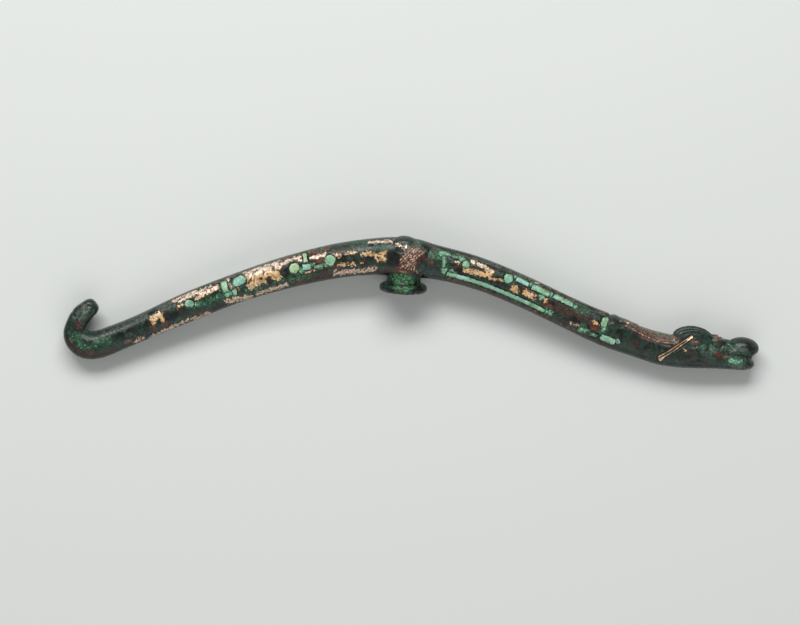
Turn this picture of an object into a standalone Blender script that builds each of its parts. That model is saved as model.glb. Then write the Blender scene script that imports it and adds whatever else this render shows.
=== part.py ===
"""A cast bronze garment hook with cut stones and gilt strips, lying on its side.

The casting is modelled in its own plane: X runs from the hook towards the dragon's head, Y is
the way that the arch rises and Z is the thickness. It is then laid down on its button's rim
and the sides of its two ends.
"""
import math

import bmesh
import bpy
from mathutils import Matrix, Vector

NAME = "garment_hook"

# The hook's whole length in metres. Every other size is in millimetres of a hook 200 long
LENGTH = 0.200
MM = LENGTH / 200

# The middle line of the bar, walked both ways from the crown: length in mm, turn in degrees
CROWN_SLOPE = -5.9
CROWN_LIFT = -0.46
TO_HOOK = ((8.0, 8.8), (14.0, 9.0), (18.0, 5.3), (18.0, 4.8), (18.0, 2.5), (8.0, -2.7),
           (6.0, 0.6), (4.0, -21.8), (4.0, -42.8), (3.5, -55.0), (3.5, -31.4), (6.5, -12.0))
TO_HEAD = ((6.0, 4.8), (9.0, 3.3), (12.0, 7.9), (16.0, 4.4), (16.0, -2.7), (12.0, -3.5),
           (10.0, -7.4), (10.0, -6.6), (20.0, 0.0))
WALK_STEP = 0.25

# The bar's sections in mm: place along it, height over the line, depth under it, half width
SECTIONS = (
    (-112.0, 2.45, 2.15, 2.3), (-109.0, 2.60, 2.55, 2.5), (-106.0, 2.80, 3.15, 2.6),
    (-103.0, 2.95, 3.05, 2.8), (-100.0, 3.30, 3.70, 3.3), (-97.0, 3.70, 4.25, 3.7),
    (-92.0, 3.90, 4.00, 3.9), (-86.0, 3.80, 3.85, 3.9), (-78.0, 3.77, 3.77, 3.9),
    (-65.0, 4.18, 4.18, 4.0), (-50.0, 4.15, 4.15, 4.2), (-35.0, 4.52, 4.52, 4.4),
    (-20.0, 4.89, 4.89, 4.6), (-8.0, 5.23, 5.23, 4.8), (-4.0, 5.50, 5.40, 4.9),
    (0.0, 5.65, 5.50, 4.9), (4.0, 5.60, 5.30, 4.9), (8.0, 5.08, 4.89, 4.7),
    (20.0, 4.70, 4.51, 4.5), (35.0, 4.55, 4.37, 4.4), (50.0, 4.52, 4.34, 4.4),
    (60.0, 4.65, 4.66, 4.4), (62.5, 4.75, 4.68, 4.4), (66.0, 4.95, 4.60, 4.4),
    (72.0, 4.75, 4.34, 4.2), (80.0, 4.85, 4.52, 4.2), (84.0, 4.95, 4.25, 4.3),
    (88.0, 5.20, 3.80, 4.4), (92.0, 5.60, 3.40, 4.4), (95.0, 5.72, 3.15, 4.1),
    (98.0, 5.50, 3.00, 3.7), (101.0, 5.20, 2.90, 3.5), (104.0, 4.50, 2.80, 3.3),
    (106.0, 3.80, 2.60, 3.2))
HOOK_END = -111.7
HEAD_END = 105.6
HOOK_END_ROUND = 2.6
HEAD_END_ROUND = 2.2
TOP_FULLNESS = 2.4
UNDER_FULLNESS = 3.0
SECTION_ANGLES = (90, 76, 68, 58, 38, 13, -14, -42, -66, -90)

# The flat ridge along the top between the crown and the dragon's neck
RIDGE_FROM = 7.0
RIDGE_TO = 62.0
RIDGE_FADE = 3.0
GROOVE_DEPTH = 0.45

# The button under the crown
BUTTON_RADIUS = 6.9
BUTTON_THICK = 2.6
BUTTON_MIDDLE = -9.3
BUTTON_LEAN = -3.2
NECK_RADIUS = 4.75
NECK_FILLET = 0.3
NECK_TOP = 5.2
BUTTON_STEPS = 32

# Stones and strips
RECESS_DEPTH = 1.0
STONE_DEPTH = 0.7
SEAT_GAP = 0.15
STONES_FROM = 0.8
STRIPS_FROM = 2.3
TILE_REACH = 9.0
STRIP_PROUD = 0.25

# Name, place along the bar, height over its line, length, breadth, turn in degrees, corner share
SHOWN_STONES = (
    ("tail_stone", -63.0, 1.2, 2.9, 2.2, -25, 1.0),
    ("upright_stone", -51.9, 1.9, 1.9, 3.3, -4, 0.4),
    ("mushroom_stone", -47.4, 2.1, 4.2, 2.6, 8, 1.0),
    ("stem_stone", -49.7, -0.5, 1.5, 2.0, -4, 0.4),
    ("left_disc_stone", -31.3, 1.1, 3.2, 3.2, 0, 1.0),
    ("upper_strip_stone", -27.6, 3.2, 1.5, 2.6, 0, 0.4),
    ("base_stone", -27.8, 0.6, 2.7, 1.9, -6, 0.5),
    ("link_stone", -24.4, 0.0, 3.2, 1.4, -6, 0.5),
    ("right_disc_stone", -20.8, 1.1, 3.3, 3.2, 0, 1.0),
    ("border_end_stone", 11.7, 1.2, 1.3, 3.8, 8, 0.8),
    ("border_stone", 28.4, -1.9, 31.0, 1.4, 0, 0.4),
    ("ridge_chip_stone", 14.3, 3.4, 2.2, 1.1, -8, 0.7),
    ("round_stone", 17.8, 2.1, 2.3, 2.3, 0, 1.0),
    ("comma_stone", 30.4, 2.3, 2.9, 2.7, 0, 1.0),
    ("first_bar_stone", 34.5, 3.0, 4.2, 1.4, -2, 0.4),
    ("second_bar_stone", 40.2, 2.9, 5.8, 1.7, 0, 0.6),
    ("third_bar_stone", 47.3, 3.1, 6.6, 1.4, 0, 0.4),
    ("post_stone", 60.8, 2.4, 1.9, 2.8, 6, 0.5),
    ("lower_stone", 59.3, -2.2, 2.5, 1.4, 0, 0.5),
    ("corner_stone", 63.6, -1.9, 4.6, 2.0, 0, 0.6))
HIDDEN_STONES = ("upright_stone", "mushroom_stone", "left_disc_stone", "right_disc_stone",
                 "border_stone", "round_stone", "comma_stone", "third_bar_stone", "corner_stone")
STRIP = ("gilt_strip", 82.6, 1.3, 10.4, 1.2, 44, 0.5)

# The nose and the lower lip stand behind the head's end by these
NOSE_BACK = 2.9
LIP_BACK = 1.8

# The mouth
MOUTH_AT = HEAD_END - 1.2
MOUTH_LENGTH = 7.2
MOUTH_HEIGHT = 1.1
MOUTH_OPEN = 1.1
MOUTH_CLOSED = 0.35
MOUTH_TONGUE = 2.6

# Lying down: the share of the length at each end that may touch, and the first guess in degrees
END_ZONE = 0.14
LYING_GUESS = 8.0


def walk(arcs, heading, turn_sign):
    """Points along a chain of arcs, as (distance, x, y, heading)."""
    x = 0.0
    y = CROWN_LIFT
    distance = 0.0
    points = [(distance, x, y, heading)]
    for length, turn in arcs:
        steps = round(length / WALK_STEP)
        for _ in range(steps):
            heading += math.radians(turn) * turn_sign / steps / 2
            x += math.cos(heading) * length / steps
            y += math.sin(heading) * length / steps
            heading += math.radians(turn) * turn_sign / steps / 2
            distance += length / steps
            points.append((distance, x, y, heading))
    return points


def make_line():
    """The whole middle line from the hook's tip to the nose, heading towards the nose."""
    slope = math.radians(CROWN_SLOPE)
    back = walk(TO_HOOK, math.pi + slope, 1)
    ahead = walk(TO_HEAD, slope, -1)
    hook_side = [(-s, x, y, heading - math.pi) for s, x, y, heading in reversed(back)]
    return hook_side + ahead[1:]


LINE = make_line()


def on_line(s):
    """Position and heading at the distance s from the crown, straight on past both ends."""
    place = (s - LINE[0][0]) / WALK_STEP
    i = int(max(0, min(place, len(LINE) - 2)))
    part = place - i
    a = LINE[i]
    b = LINE[i + 1]
    return (a[1] + (b[1] - a[1]) * part, a[2] + (b[2] - a[2]) * part,
            a[3] + (b[3] - a[3]) * part)


def beside_line(s, height, z=0.0):
    """The point at a height over the middle line, in millimetres."""
    x, y, heading = on_line(s)
    return Vector((x - height * math.sin(heading), y + height * math.cos(heading), z))


def section_at(s):
    """Height, depth and half width at s, by a smooth curve through the table's rows."""
    i = 1
    while i < len(SECTIONS) - 2 and SECTIONS[i + 1][0] < s:
        i += 1
    if s < SECTIONS[1][0]:
        i = 0
    a = SECTIONS[max(i - 1, 0)]
    b = SECTIONS[i]
    c = SECTIONS[i + 1]
    d = SECTIONS[min(i + 2, len(SECTIONS) - 1)]
    span = c[0] - b[0]
    t = max(0.0, min((s - b[0]) / span, 1.0))
    sizes = []
    for k in (1, 2, 3):
        m0 = (c[k] - a[k]) / (c[0] - a[0]) * span
        m1 = (d[k] - b[k]) / (d[0] - b[0]) * span
        sizes.append((2 * t ** 3 - 3 * t ** 2 + 1) * b[k] + (t ** 3 - 2 * t ** 2 + t) * m0
                     + (3 * t ** 2 - 2 * t ** 3) * c[k] + (t ** 3 - t ** 2) * m1)
    return sizes


def end_share(s, inset):
    """How far the section has opened at s behind the two rounded ends."""
    share = 1.0
    for end, rounding, sign in ((HOOK_END, HOOK_END_ROUND, 1), (HEAD_END, HEAD_END_ROUND, -1)):
        t = ((s - end) * sign - inset) / rounding
        if t < 1:
            share = min(share, (1 - (1 - max(t, 0.02)) ** 2.4) ** (1 / 2.4))
    return share


def ridge_share(s):
    """One where the flat ridge runs, fading to nothing at both of its ends."""
    rising = (s - RIDGE_FROM) / RIDGE_FADE
    falling = (RIDGE_TO - s) / (RIDGE_FADE * 0.3)
    return max(0.0, min(rising, falling, 1.0))


def ring_points(s, inset):
    """The points of one section, set in by inset, round from the top."""
    rise, drop, width = [max(size - inset, 0.4) for size in section_at(s)]
    share = end_share(s, inset)
    ridge = ridge_share(s) if inset == 0.0 else 0.0
    half = []
    for angle in SECTION_ANGLES:
        c = math.cos(math.radians(angle))
        n = math.sin(math.radians(angle))
        fullness = TOP_FULLNESS if n > 0 else UNDER_FULLNESS
        z = width * max(c, 0.0) ** (2 / fullness)
        height = (rise if n > 0 else drop) * math.copysign(abs(n) ** (2 / fullness), n)
        if angle == 76:
            height += (rise - height) * ridge
        if angle == 68:
            height -= GROOVE_DEPTH * ridge
        half.append((height * share, z * share))
    other = [(height, -z) for height, z in reversed(half[1:-1])]
    return [beside_line(s, height, z) for height, z in half + other]


def stations():
    """Places of the sections: close at the bend, the crown and the head, wide on the bar."""
    places = []
    s = HOOK_END
    while s < HEAD_END - 0.01:
        places.append(s)
        if s < HOOK_END + HOOK_END_ROUND or s > HEAD_END - HEAD_END_ROUND - 0.5:
            s += 0.5
        elif s < -90 or s > 90:
            s += 1.8
        elif abs(s - RIDGE_TO) < 2.0:
            s += 1.0
        else:
            s += 4.4 if abs(s) > 10 else 2.5
    places.append(HEAD_END)
    return places


def loft(name, inset=0.0, every=1):
    """The bar as one closed solid through its sections, or through every second one."""
    mesh = bmesh.new()
    rings = []
    for s in stations()[::every]:
        at = min(max(s, HOOK_END + inset), HEAD_END - inset)
        if rings and at - rings[-1][0] < 0.3:
            continue
        rings.append((at, [mesh.verts.new(point * MM) for point in ring_points(at, inset)]))
    count = len(rings[0][1])
    for (_, one), (_, two) in zip(rings, rings[1:]):
        for i in range(count):
            j = (i + 1) % count
            mesh.faces.new((one[i], one[j], two[j], two[i]))
    mesh.faces.new(list(reversed(rings[0][1])))
    mesh.faces.new(rings[-1][1])
    return finish_mesh(name, mesh)


def finish_mesh(name, mesh):
    """Turns a bmesh into an object with its faces pointing out."""
    bmesh.ops.recalc_face_normals(mesh, faces=mesh.faces[:])
    data = bpy.data.meshes.new(name)
    mesh.to_mesh(data)
    mesh.free()
    return in_workshop(bpy.data.objects.new(name, data))


def in_workshop(item):
    """Keeps a blank or a cutter in the cutters' collection, drawn as wires."""
    item.hide_render = True
    item.display_type = "WIRE"
    bpy.data.collections["cutters"].objects.link(item)
    return item


def lump(name, s, height, z, along, across, thick, turn=0.0, segments=16):
    """A rounded lump of the casting: an ellipsoid set in the bar's own frame."""
    heading = on_line(s)[2]
    mesh = bmesh.new()
    bmesh.ops.create_uvsphere(mesh, u_segments=segments, v_segments=segments // 4 * 2 + 1,
                              radius=MM)
    size = Matrix.Diagonal((along, across, thick, 1.0))
    place = Matrix.Translation(beside_line(s, height, z) * MM)
    mesh.transform(place @ Matrix.Rotation(heading + math.radians(turn), 4, "Z") @ size)
    return finish_mesh(name, mesh)


def tile(name, row, side, grow):
    """A flat-ended cutter with a stone's outline, from near the middle plane outwards."""
    start = STRIPS_FROM if row is STRIP else STONES_FROM
    _, s, height, length, breadth, turn, corner = row
    half_long = length / 2 + grow
    half_broad = breadth / 2 + grow
    radius = min(half_long, half_broad) * corner
    lean = math.radians(turn)
    outline = []
    for quarter in range(4):
        middle = 45 + 90 * quarter
        cx = math.copysign(half_long - radius, math.cos(math.radians(middle)))
        cy = math.copysign(half_broad - radius, math.sin(math.radians(middle)))
        for step in (-45, 0, 45):
            angle = math.radians(middle + step)
            dx = cx + radius * math.cos(angle)
            dy = cy + radius * math.sin(angle)
            outline.append((dx * math.cos(lean) - dy * math.sin(lean),
                            dx * math.sin(lean) + dy * math.cos(lean)))
    outline = fill_long_edges(outline)
    mesh = bmesh.new()
    near = [mesh.verts.new(beside_line(s + dx, height + dy, side * start) * MM)
            for dx, dy in outline]
    face = mesh.faces.new(near)
    out = bmesh.ops.extrude_face_region(mesh, geom=[face])
    moved = [v for v in out["geom"] if isinstance(v, bmesh.types.BMVert)]
    bmesh.ops.translate(mesh, verts=moved, vec=Vector((0, 0, side * TILE_REACH * MM)))
    return finish_mesh(name, mesh)


def fill_long_edges(outline, longest=4.5):
    """Adds points along an outline's long edges, so that they bend with the bar."""
    filled = []
    for i, a in enumerate(outline):
        b = outline[(i + 1) % len(outline)]
        filled.append(a)
        parts = math.ceil(math.dist(a, b) / longest)
        for k in range(1, parts):
            filled.append((a[0] + (b[0] - a[0]) * k / parts, a[1] + (b[1] - a[1]) * k / parts))
    return filled


def button():
    """The turned button with its neck, as one solid."""
    low = -BUTTON_THICK / 2
    high = BUTTON_THICK / 2
    rim = BUTTON_THICK / 2
    profile = [(0.0, NECK_TOP), (NECK_RADIUS + NECK_FILLET, NECK_TOP), (NECK_RADIUS + 0.15, 4.0),
               (NECK_RADIUS, 2.6), (NECK_RADIUS + 0.3, high + 0.1)]
    for angle in (75, 40, 5, -30, -65):
        a = math.radians(angle)
        profile.append((BUTTON_RADIUS - rim + rim * math.cos(a), rim * math.sin(a)))
    profile.append((BUTTON_RADIUS - rim - 0.6, low))
    profile.append((0.0, low))
    data = bpy.data.meshes.new("button_profile")
    data.from_pydata([(r * MM, 0.0, z * MM) for r, z in profile],
                     [(i, i + 1) for i in range(len(profile) - 1)], [])
    item = in_workshop(bpy.data.objects.new("button", data))
    turn = item.modifiers.new("turn", "SCREW")
    turn.steps = BUTTON_STEPS
    turn.render_steps = BUTTON_STEPS
    turn.use_merge_vertices = True
    turn.merge_threshold = 0.00001
    item.matrix_world = (Matrix.Translation(Vector((0.0, BUTTON_MIDDLE, 0.0)) * MM)
                         @ Matrix.Rotation(math.radians(BUTTON_LEAN), 4, "Z")
                         @ Matrix.Rotation(math.radians(-90), 4, "X")
                         @ Matrix.Rotation(math.pi / BUTTON_STEPS, 4, "Z"))
    return item


def combined(blank, tools, operation):
    """One Boolean of the blank with every tool, applied; the tools are used up."""
    for tool in tools:
        change = blank.modifiers.new(operation.lower(), "BOOLEAN")
        change.operation = operation
        change.object = tool
        change.solver = "EXACT"
    result = applied(blank)
    for tool in tools:
        bpy.data.objects.remove(tool)
    return result


def applied(blank):
    """The blank as its modifiers leave it, as a plain mesh in the casting's frame."""
    bpy.context.view_layer.update()
    ready = blank.evaluated_get(bpy.context.evaluated_depsgraph_get())
    data = bpy.data.meshes.new_from_object(ready)
    data.transform(blank.matrix_world)
    name = blank.name
    bpy.data.objects.remove(blank)
    return in_workshop(bpy.data.objects.new(name, data))


def joined(name, items):
    """Several closed solids that don't touch, as one."""
    mesh = bmesh.new()
    for item in items:
        mesh.from_mesh(item.data)
        bpy.data.objects.remove(item)
    return finish_mesh(name, mesh)


def head_lumps():
    """The dragon's horns, brows, eyes, nose and lower lip, on both sides."""
    lumps = [lump("nose", HEAD_END - NOSE_BACK, 3.7, 0.0, 4.7, 2.95, 3.7),
             lump("lip", HEAD_END - LIP_BACK, -0.9, 0.0, 2.8, 1.85, 3.1)]
    for side in (1, -1):
        lumps.append(lump("horn", 88.2, 3.8, side * 2.3, 6.4, 4.25, 1.7))
        lumps.append(lump("brow", 94.8, 4.4, side * 1.9, 2.6, 1.9, 1.7, turn=-10, segments=14))
        lumps.append(lump("eye", 91.6, 2.2, side * 4.0, 1.5, 1.0, 0.8, turn=-8, segments=12))
    return lumps


def mask_lumps():
    """The mask at the crown: its forehead, eyes and cheeks, on both sides."""
    lumps = [lump("forehead", 0.2, 4.3, 0.0, 3.4, 1.9, 3.6, segments=14)]
    for side in (1, -1):
        lumps.append(lump("mask_eye", -1.1, 3.2, side * 4.0, 1.5, 1.1, 0.9, segments=10))
        lumps.append(lump("mask_cheek", 2.4, -0.6, side * 4.3, 2.6, 3.4, 0.9, turn=-20, segments=12))
    return lumps


def tail_lumps():
    """The eyes of the small head at the hook's tip."""
    return [lump("tail_eye", -108.9, 0.3, side * 2.15, 1.0, 0.75, 0.6, segments=10)
            for side in (1, -1)]


def mouth_cutter():
    """The mouth: a thin wedge between nose and lower lip, open at the front and the sides."""
    reach = MOUTH_LENGTH
    front = MOUTH_OPEN / 2
    back = MOUTH_CLOSED / 2
    mesh = bmesh.new()
    bmesh.ops.create_cube(mesh, size=1.0)
    for v in mesh.verts:
        half = front if v.co.x > 0 else back
        v.co = Vector((MOUTH_AT + (reach / 2 if v.co.x > 0 else -reach / 2),
                       math.copysign(half, v.co.y), math.copysign(6.0, v.co.z)))
        v.co = beside_line(v.co.x, MOUTH_HEIGHT + v.co.y, v.co.z) * MM
    return finish_mesh("mouth", mesh)


def tongue():
    """What stays uncut inside the mouth."""
    mesh = bmesh.new()
    bmesh.ops.create_cube(mesh, size=1.0)
    for v in mesh.verts:
        along = MOUTH_AT - MOUTH_LENGTH * 0.2 + math.copysign(MOUTH_LENGTH * 0.6, v.co.x) - 1.2
        height = MOUTH_HEIGHT + math.copysign(2.0, v.co.y)
        v.co = beside_line(along, height, math.copysign(MOUTH_TONGUE, v.co.z)) * MM
    return finish_mesh("tongue", mesh)


def hollows():
    """The two shallow hollows behind the mask's cheeks."""
    return [lump("hollow", -2.9, -0.9, side * 5.7, 2.2, 3.0, 1.6, segments=12)
            for side in (1, -1)]


def make_casting():
    """The bronze casting before its stones are let in."""
    body = loft("casting")
    body = combined(body, [button()] + head_lumps() + mask_lumps() + tail_lumps(), "UNION")
    mouth = combined(mouth_cutter(), [tongue()], "DIFFERENCE")
    return combined(body, [mouth] + hollows(), "DIFFERENCE")


def stone_rows():
    """Each stone's row with the side that it is on."""
    rows = [("right_" + row[0], row, 1) for row in SHOWN_STONES]
    rows += [("left_" + row[0], row, -1) for row in SHOWN_STONES if row[0] in HIDDEN_STONES]
    return rows


def strip_rows():
    """The gilt strip's row with each side."""
    return [("right_" + STRIP[0], STRIP, 1), ("left_" + STRIP[0], STRIP, -1)]


def cut_recesses(casting):
    """Sinks a recess with a flat-walled edge for each stone and strip."""
    tiles = [tile(name, row, side, SEAT_GAP) for name, row, side in stone_rows() + strip_rows()]
    cutter = combined(joined("recesses", tiles), [loft("recess_floor", RECESS_DEPTH, 2)], "DIFFERENCE")
    return combined(casting, [cutter], "DIFFERENCE")


def loose_groups(mesh):
    """The corners of each connected piece of a mesh, in a fixed order."""
    seen = set()
    groups = []
    for start in mesh.verts:
        if start in seen:
            continue
        seen.add(start)
        group = [start]
        for v in group:
            for edge in v.link_edges:
                other = edge.other_vert(v)
                if other not in seen:
                    seen.add(other)
                    group.append(other)
        groups.append(group)
    return groups


def split_pieces(blank, rows):
    """One object for each loose piece, named after the stone that it is nearest to."""
    mesh = bmesh.new()
    mesh.from_mesh(blank.data)
    bmesh.ops.remove_doubles(mesh, verts=mesh.verts[:], dist=1e-6)
    groups = loose_groups(mesh)
    pieces = {}
    for name, row, side in rows:
        centre = beside_line(row[1], row[2], side * 4.0) * MM
        nearest = min(groups, key=lambda group: distance_to(group, centre))
        pieces[name] = piece_from(name, mesh, nearest)
    mesh.free()
    bpy.data.objects.remove(blank)
    return pieces


def distance_to(group, centre):
    """Distance of a piece's middle from a point."""
    middle = sum((v.co for v in group), Vector()) / len(group)
    return (middle - centre).length


def piece_from(name, mesh, group):
    """A new object from some of a mesh's connected corners."""
    part = bmesh.new()
    twin = {v: part.verts.new(v.co) for v in group}
    for face in dict.fromkeys(face for v in group for face in v.link_faces):
        part.faces.new([twin[v] for v in face.verts])
    return finish_mesh(name, part)


def make_stones():
    """The stones: slices of the bar's own skin, a little smaller than their recesses."""
    rows = stone_rows()
    tiles = [tile(name, row, side, -SEAT_GAP) for name, row, side in rows]
    blank = combined(joined("stones", tiles), [loft("stone_top")], "INTERSECT")
    blank = combined(blank, [loft("stone_floor", STONE_DEPTH, 2)], "DIFFERENCE")
    return split_pieces(blank, rows)


def make_strips():
    """The gilt strips, which stand a little proud of the head."""
    rows = strip_rows()
    tiles = [tile(name, row, side, -SEAT_GAP) for name, row, side in rows]
    blank = combined(joined("strips", tiles), [loft("strip_top", -STRIP_PROUD)], "INTERSECT")
    blank = combined(blank, [loft("strip_floor", STONE_DEPTH, 2)], "DIFFERENCE")
    return split_pieces(blank, rows)


def lowest(points, turn, low, high):
    """The lowest point, once turned, of those whose X lies between low and high."""
    chosen = [p for p in points if low <= p.x <= high]
    return min(chosen, key=lambda p: (turn @ p).z)


def lying_turn(casting):
    """The turn that sets both ends and the button's rim on one level surface."""
    points = [v.co.copy() for v in casting.data.vertices]
    first = min(p.x for p in points)
    last = max(p.x for p in points)
    end_zone = (last - first) * END_ZONE
    turn = Matrix.Rotation(math.radians(LYING_GUESS), 3, "X")
    for _ in range(12):
        a = turn @ lowest(points, turn, first, first + end_zone)
        b = turn @ lowest(points, turn, -BUTTON_RADIUS * MM, BUTTON_RADIUS * MM)
        c = turn @ lowest(points, turn, last - end_zone, last)
        normal = (b - a).cross(c - a).normalized()
        if normal.z < 0:
            normal.negate()
        turn = normal.rotation_difference(Vector((0, 0, 1))).to_matrix() @ turn
    return turn


def lying_place(casting):
    """The turn and the shift that lay the hook down over the origin."""
    turn = lying_turn(casting)
    points = [turn @ v.co for v in casting.data.vertices]
    low = Vector([min(p[k] for p in points) for k in range(3)])
    high = Vector([max(p[k] for p in points) for k in range(3)])
    middle = (low + high) / 2
    shift = Matrix.Translation(Vector((-middle.x, -middle.y, -low.z)))
    return shift @ turn.to_4x4()


def plain_material(name, colour, roughness, metallic):
    """A Principled material in one colour."""
    material = bpy.data.materials.new(name)
    material.use_nodes = True
    shader = material.node_tree.nodes["Principled BSDF"]
    shader.inputs["Base Color"].default_value = (*colour, 1.0)
    shader.inputs["Roughness"].default_value = roughness
    shader.inputs["Metallic"].default_value = metallic
    material.diffuse_color = (*colour, 1.0)
    return material


def hand_over(item, material, place, shelf):
    """Moves a finished piece to the object's collection, in its material and lying down."""
    bpy.data.collections["cutters"].objects.unlink(item)
    shelf.objects.link(item)
    item.hide_render = False
    item.display_type = "TEXTURED"
    item.data.materials.clear()
    item.data.materials.append(material)
    item.data.shade_smooth()
    item.data.set_sharp_from_angle(angle=math.radians(38))
    item.parent = place


def clear_scene():
    """Empties the scene that the script starts in."""
    for item in list(bpy.data.objects):
        bpy.data.objects.remove(item)


def main():
    clear_scene()
    workshop = bpy.data.collections.new("cutters")
    shelf = bpy.data.collections.new(NAME)
    bpy.context.scene.collection.children.link(workshop)
    bpy.context.scene.collection.children.link(shelf)

    casting = make_casting()
    stones = make_stones()
    strips = make_strips()
    casting = cut_recesses(casting)
    casting.name = "bronze_casting"

    place = bpy.data.objects.new("lying_down", None)
    shelf.objects.link(place)
    place.matrix_world = lying_place(casting)

    bronze = plain_material("dark_bronze", (0.040, 0.055, 0.045), 0.38, 0.6)
    malachite = plain_material("malachite", (0.20, 0.50, 0.34), 0.45, 0.0)
    gilt = plain_material("gilt", (0.62, 0.42, 0.22), 0.35, 0.9)
    hand_over(casting, bronze, place, shelf)
    for stone in stones.values():
        hand_over(stone, malachite, place, shelf)
    for strip in strips.values():
        hand_over(strip, gilt, place, shelf)


main()
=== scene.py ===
"""The garment hook dressed for its picture: patinated bronze, green stones and worn gold."""

from math import copysign, cos, pi, radians, sin

import bmesh
import bpy
import numpy as np
from mathutils import Matrix, Vector, noise


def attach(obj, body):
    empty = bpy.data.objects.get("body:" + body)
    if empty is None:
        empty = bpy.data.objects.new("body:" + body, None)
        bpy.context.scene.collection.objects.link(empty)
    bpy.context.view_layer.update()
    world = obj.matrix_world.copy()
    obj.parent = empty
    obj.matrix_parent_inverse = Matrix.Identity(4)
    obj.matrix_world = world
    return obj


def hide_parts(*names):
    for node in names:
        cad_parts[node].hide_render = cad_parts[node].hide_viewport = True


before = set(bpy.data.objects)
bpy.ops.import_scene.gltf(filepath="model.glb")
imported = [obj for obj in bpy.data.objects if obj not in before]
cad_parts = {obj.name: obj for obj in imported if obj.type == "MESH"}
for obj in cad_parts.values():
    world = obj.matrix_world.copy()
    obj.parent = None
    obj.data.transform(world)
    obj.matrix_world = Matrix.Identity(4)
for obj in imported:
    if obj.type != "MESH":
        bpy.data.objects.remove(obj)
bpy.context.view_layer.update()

# The casting's own plane, as it was modelled: lengths in the drawing's millimetres
MM = 0.001
TILT = 8.0258
LEAN = -0.3179
SHIFT = (-2.3943, 13.6793, 8.0787)

CROWN_SLOPE = -5.9
CROWN_LIFT = -0.46
# Arcs from the crown to each end: length, and turn in degrees
TO_HOOK = ((8.0, 8.8), (14.0, 9.0), (18.0, 5.3), (18.0, 4.8), (18.0, 2.5), (8.0, -2.7),
           (6.0, 0.6), (4.0, -21.8), (4.0, -42.8), (3.5, -55.0), (3.5, -31.4), (6.5, -12.0))
TO_HEAD = ((6.0, 4.8), (9.0, 3.3), (12.0, 7.9), (16.0, 4.4), (16.0, -2.7), (12.0, -3.5),
           (10.0, -7.4), (10.0, -6.6), (20.0, 0.0))
WALK_STEP = 0.25
# Place along the bar, height over its line, depth under it, half width
SECTIONS = (
    (-112.0, 2.45, 2.15, 2.3), (-109.0, 2.60, 2.55, 2.5), (-106.0, 2.80, 3.15, 2.6),
    (-103.0, 2.95, 3.05, 2.8), (-100.0, 3.30, 3.70, 3.3), (-97.0, 3.70, 4.25, 3.7),
    (-92.0, 3.90, 4.00, 3.9), (-86.0, 3.80, 3.85, 3.9), (-78.0, 3.77, 3.77, 3.9),
    (-65.0, 4.18, 4.18, 4.0), (-50.0, 4.15, 4.15, 4.2), (-35.0, 4.52, 4.52, 4.4),
    (-20.0, 4.89, 4.89, 4.6), (-8.0, 5.23, 5.23, 4.8), (-4.0, 5.50, 5.40, 4.9),
    (0.0, 5.65, 5.50, 4.9), (4.0, 5.60, 5.30, 4.9), (8.0, 5.08, 4.89, 4.7),
    (20.0, 4.70, 4.51, 4.5), (35.0, 4.55, 4.37, 4.4), (50.0, 4.52, 4.34, 4.4),
    (60.0, 4.65, 4.66, 4.4), (62.5, 4.75, 4.68, 4.4), (66.0, 4.95, 4.60, 4.4),
    (72.0, 4.75, 4.34, 4.2), (80.0, 4.85, 4.52, 4.2), (84.0, 4.95, 4.25, 4.3),
    (88.0, 5.20, 3.80, 4.4), (92.0, 5.60, 3.40, 4.4), (95.0, 5.72, 3.15, 4.1),
    (98.0, 5.50, 3.00, 3.7), (101.0, 5.20, 2.90, 3.5), (104.0, 4.50, 2.80, 3.3),
    (106.0, 3.80, 2.60, 3.2))
HOOK_END = -111.7
HEAD_END = 105.6
HOOK_END_ROUND = 2.6
HEAD_END_ROUND = 2.2
END_FULLNESS = 2.4
TOP_FULLNESS = 2.4
UNDER_FULLNESS = 3.0
TABLE_STEP = 0.5

# The ridge along the top of the bar, between two grooves
RIDGE_FROM = 7.0
RIDGE_TO = 62.0
RIDGE_RISE = 3.0
RIDGE_FALL = 0.8
RIDGE_HALF = 1.75
RIDGE_EDGE = 0.3
RIDGE_FLATNESS = 0.9
GROOVE_MIDDLE = 2.05
GROOVE_HALF = 0.33
GROOVE_DEPTH = 0.54

# The button, its neck, and the neck's flare as (past the neck's radius, height)
BUTTON_RADIUS = 6.9
BUTTON_THICK = 2.6
BUTTON_MIDDLE = -9.3
BUTTON_LEAN = -3.2
NECK_RADIUS = 4.75
NECK_FLARE = ((0.3, 5.2), (0.15, 4.0), (0.0, 2.6))

# The dragon's horns: place, height, half length, half breadth, and how far out and how thick
HORN = (88.2, 3.8, 6.4, 4.25)
HORN_OUT = 2.3
HORN_THICK = 1.7

# The photograph's eye, over the middle of the lying hook
EYE_TARGET = (-3.3, -2.7, 8.0)
EYE_LEAN = 0.77
EYE_FAR = 1100.0
VIEW_WIDTH = 0.2299
SENSOR = 36.0
# From the eye's view to the drawing's middle plane: scale and shift, across and up
SEEN_SCALE = (1101.5, 1115.3)
SEEN_SHIFT = (-1.44, -16.58)

# The fine mesh
ALONG = 440
AROUND = 84
VOXEL = 0.32 * MM
SMOOTHING = 0.5
SMOOTH_ROUNDS = 3

# Corrosion: sizes of its waves, its height on bare bronze and what green crust adds
WAVES = (0.9, 2.3)
BARE_RELIEF = 0.05
CRUST_RELIEF = 0.10
CRUST_EDGE = 0.6

# Recesses: how near them the relief dies out, their depth, their soft edge; where the sides begin
NEAR_STONE = 0.3
RECESS_DEPTH = 0.5
RECESS_EDGE = 0.25
SIDE_FROM = 0.8

# Far from any zone, the zones' round corners, and which rows the hidden side leaves out
FAR = 9.0
ZONE_CORNER = 0.8
HIDDEN_EVERY = 3

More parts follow.
